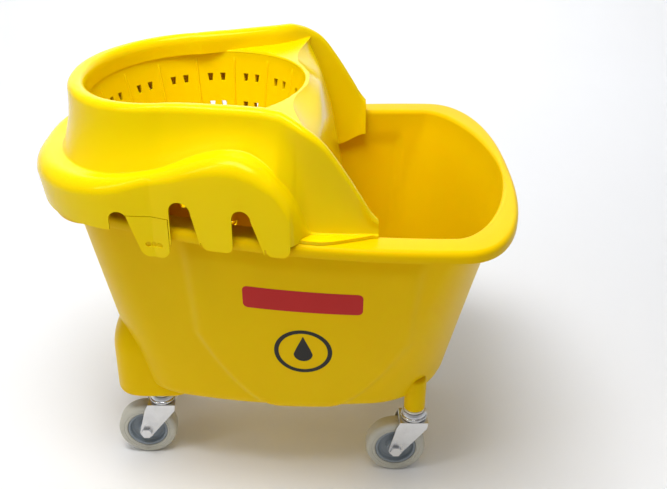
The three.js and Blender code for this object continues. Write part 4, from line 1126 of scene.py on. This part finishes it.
# ------------------------------------------------------------------ the object
finish_piece(tub(), "bucket_moulding", "bucket", TUB_YELLOW_PAINTED_SHADE, ["bucket_tub"])
finish_piece(shroud(), "wringer_moulding", "wringer", WRINGER_YELLOW_PAINTED_LIGHT,
             ["wringer_shroud"])
finish_piece(basket(), "basket_moulding", "wringer", WRINGER_YELLOW_PAINTED_LIGHT,
             ["strainer_basket"])
tab = latch_tab()
tab_far = mirrored(tab)
finish_piece(tab, "latch_near", "latch_near", WRINGER_YELLOW_PAINTED_LIGHT, ["latch_tab_near"])
finish_piece(tab_far, "latch_far", "latch_far", WRINGER_YELLOW_PAINTED_LIGHT, ["latch_tab_far"])

print_layer("red_bar", bar_field, (-36, 112), (262, 314), RED_INK)
print_layer("mark_ring", ring_field, (0, 76), (174, 250), BLACK_INK, 1.2)
print_layer("mark_drop", drop_field, (24, 52), (194, 240), BLACK_INK, 1.2)

CASTER_PIECES = [
    ("socket_sleeve", sleeve, "bucket", "sleeve_nylon", SLEEVE_NYLON, 0.0),
    ("caster_stem", stem, "caster", "zinc_steel", ZINC, 0.0),
    ("race_cup", race_cup, "caster", "zinc_steel", ZINC, 0.0),
    ("caster_fork", fork, "caster", "zinc_steel", ZINC, 0.6),
    ("axle_bolt", axle, "caster", "zinc_steel", ZINC, 0.0),
    ("axle_nut", nut, "caster", "zinc_steel", ZINC, 0.4),
    ("axle_bush", lambda: along_y(ring(AXLE_RADIUS + FIT, BUSH_RADIUS, -HUB_WIDTH / 2, HUB_WIDTH / 2)),
     "wheel", "bush_steel", BUSH_STEEL, 0.0),
    ("wheel_hub", hub, "wheel", "hub_plastic", HUB_GREY, 0.0),
    ("wheel_tyre", tyre, "wheel", "tyre_rubber", TREAD, 0.0),
]
for piece, make, body, slot, material, bevel in CASTER_PIECES:
    for place, x, y in CASTERS:
        made = moved(make(), x - MIDDLE_X, y)
        rides_on = body if body == "bucket" else f"{body}_{place}"
        finish_piece(made, f"{piece}_{place}_visual", rides_on, material, [f"{piece}_{place}"],
                     bevel=bevel)


# ------------------------------------------------------------------ studio
def floor():
    """A pale sweep of card under and behind the bucket."""
    width, points, faces = 6000, [], []
    profile = [(-3500, 0), (1400, 0)] + [(1400 + 900 * math.sin(a), 900 * (1 - math.cos(a)))
                                         for a in np.linspace(0.1, math.pi / 2, 14)] + [(2300, 3000)]
    for y, z in profile:
        points += [(-width / 2, y, z), (width / 2, y, z)]
    for i in range(len(profile) - 1):
        faces.append((2 * i, 2 * i + 1, 2 * i + 3, 2 * i + 2))
    mesh = bpy.data.meshes.new("floor")
    mesh.from_pydata([tuple(c * MM for c in p) for p in points], [], faces)
    mesh.shade_smooth()
    card = bpy.data.objects.new("floor", mesh)
    bpy.context.scene.collection.objects.link(card)
    paper = bpy.data.materials.new("Pale card")
    paper.use_nodes = True
    shader = paper.node_tree.nodes["Principled BSDF"]
    shader.inputs["Base Color"].default_value = (0.84, 0.85, 0.87, 1)
    shader.inputs["Roughness"].default_value = 0.8
    card.data.materials.append(paper)


def area_light(name, place, target, power, size, colour=(1, 1, 1)):
    lamp = bpy.data.lights.new(name, "AREA")
    lamp.energy = power
    lamp.shape = "RECTANGLE"
    lamp.size, lamp.size_y = size
    lamp.color = colour
    made = bpy.data.objects.new(name, lamp)
    made.location = place
    way = Vector(target) - Vector(place)
    made.rotation_euler = way.to_track_quat("-Z", "Y").to_euler()
    bpy.context.scene.collection.objects.link(made)


def studio():
    floor()
    world = bpy.data.worlds.new("Studio")
    world.use_nodes = True
    world.node_tree.nodes["Background"].inputs["Color"].default_value = (1, 1, 1, 1)
    world.node_tree.nodes["Background"].inputs["Strength"].default_value = 0.26
    bpy.context.scene.world = world
    area_light("overhead", (-0.25, -0.4, 2.1), (0, 0, 0.3), 36, (1.3, 0.7))
    area_light("front_left", (-1.7, -1.6, 1.9), (0, 0, 0.35), 2, (0.9, 0.9), (1.0, 0.74, 0.42))
    area_light("front_right", (1.8, -1.2, 1.2), (0, 0, 0.3), 1, (0.8, 1.4), (1.0, 0.74, 0.42))
    area_light("backdrop", (0, 1.2, 2.4), (0, 3.2, 1.4), 50, (3.0, 0.5))
    area_light("strip", (-1.5, -0.9, 1.7), (0, 0, 0.4), 5, (0.07, 1.3))
    bpy.context.scene.view_settings.view_transform = "Standard"

    lens = bpy.data.cameras.new("camera")
    lens.sensor_width = 36
    lens.lens = 50.43
    camera = bpy.data.objects.new("camera", lens)
    right, up, ahead = (0.9999, -0.0059, 0.0083), (-0.0045, 0.4793, 0.8776), (0.0091, 0.8776, -0.4793)
    turn = Matrix([[right[i], up[i], -ahead[i]] for i in range(3)])
    camera.rotation_mode = "QUATERNION"
    camera.rotation_quaternion = turn.to_quaternion()
    camera.location = (0.0567, -1.0404, 0.8376)
    bpy.context.scene.collection.objects.link(camera)
    bpy.context.scene.camera = camera


studio()
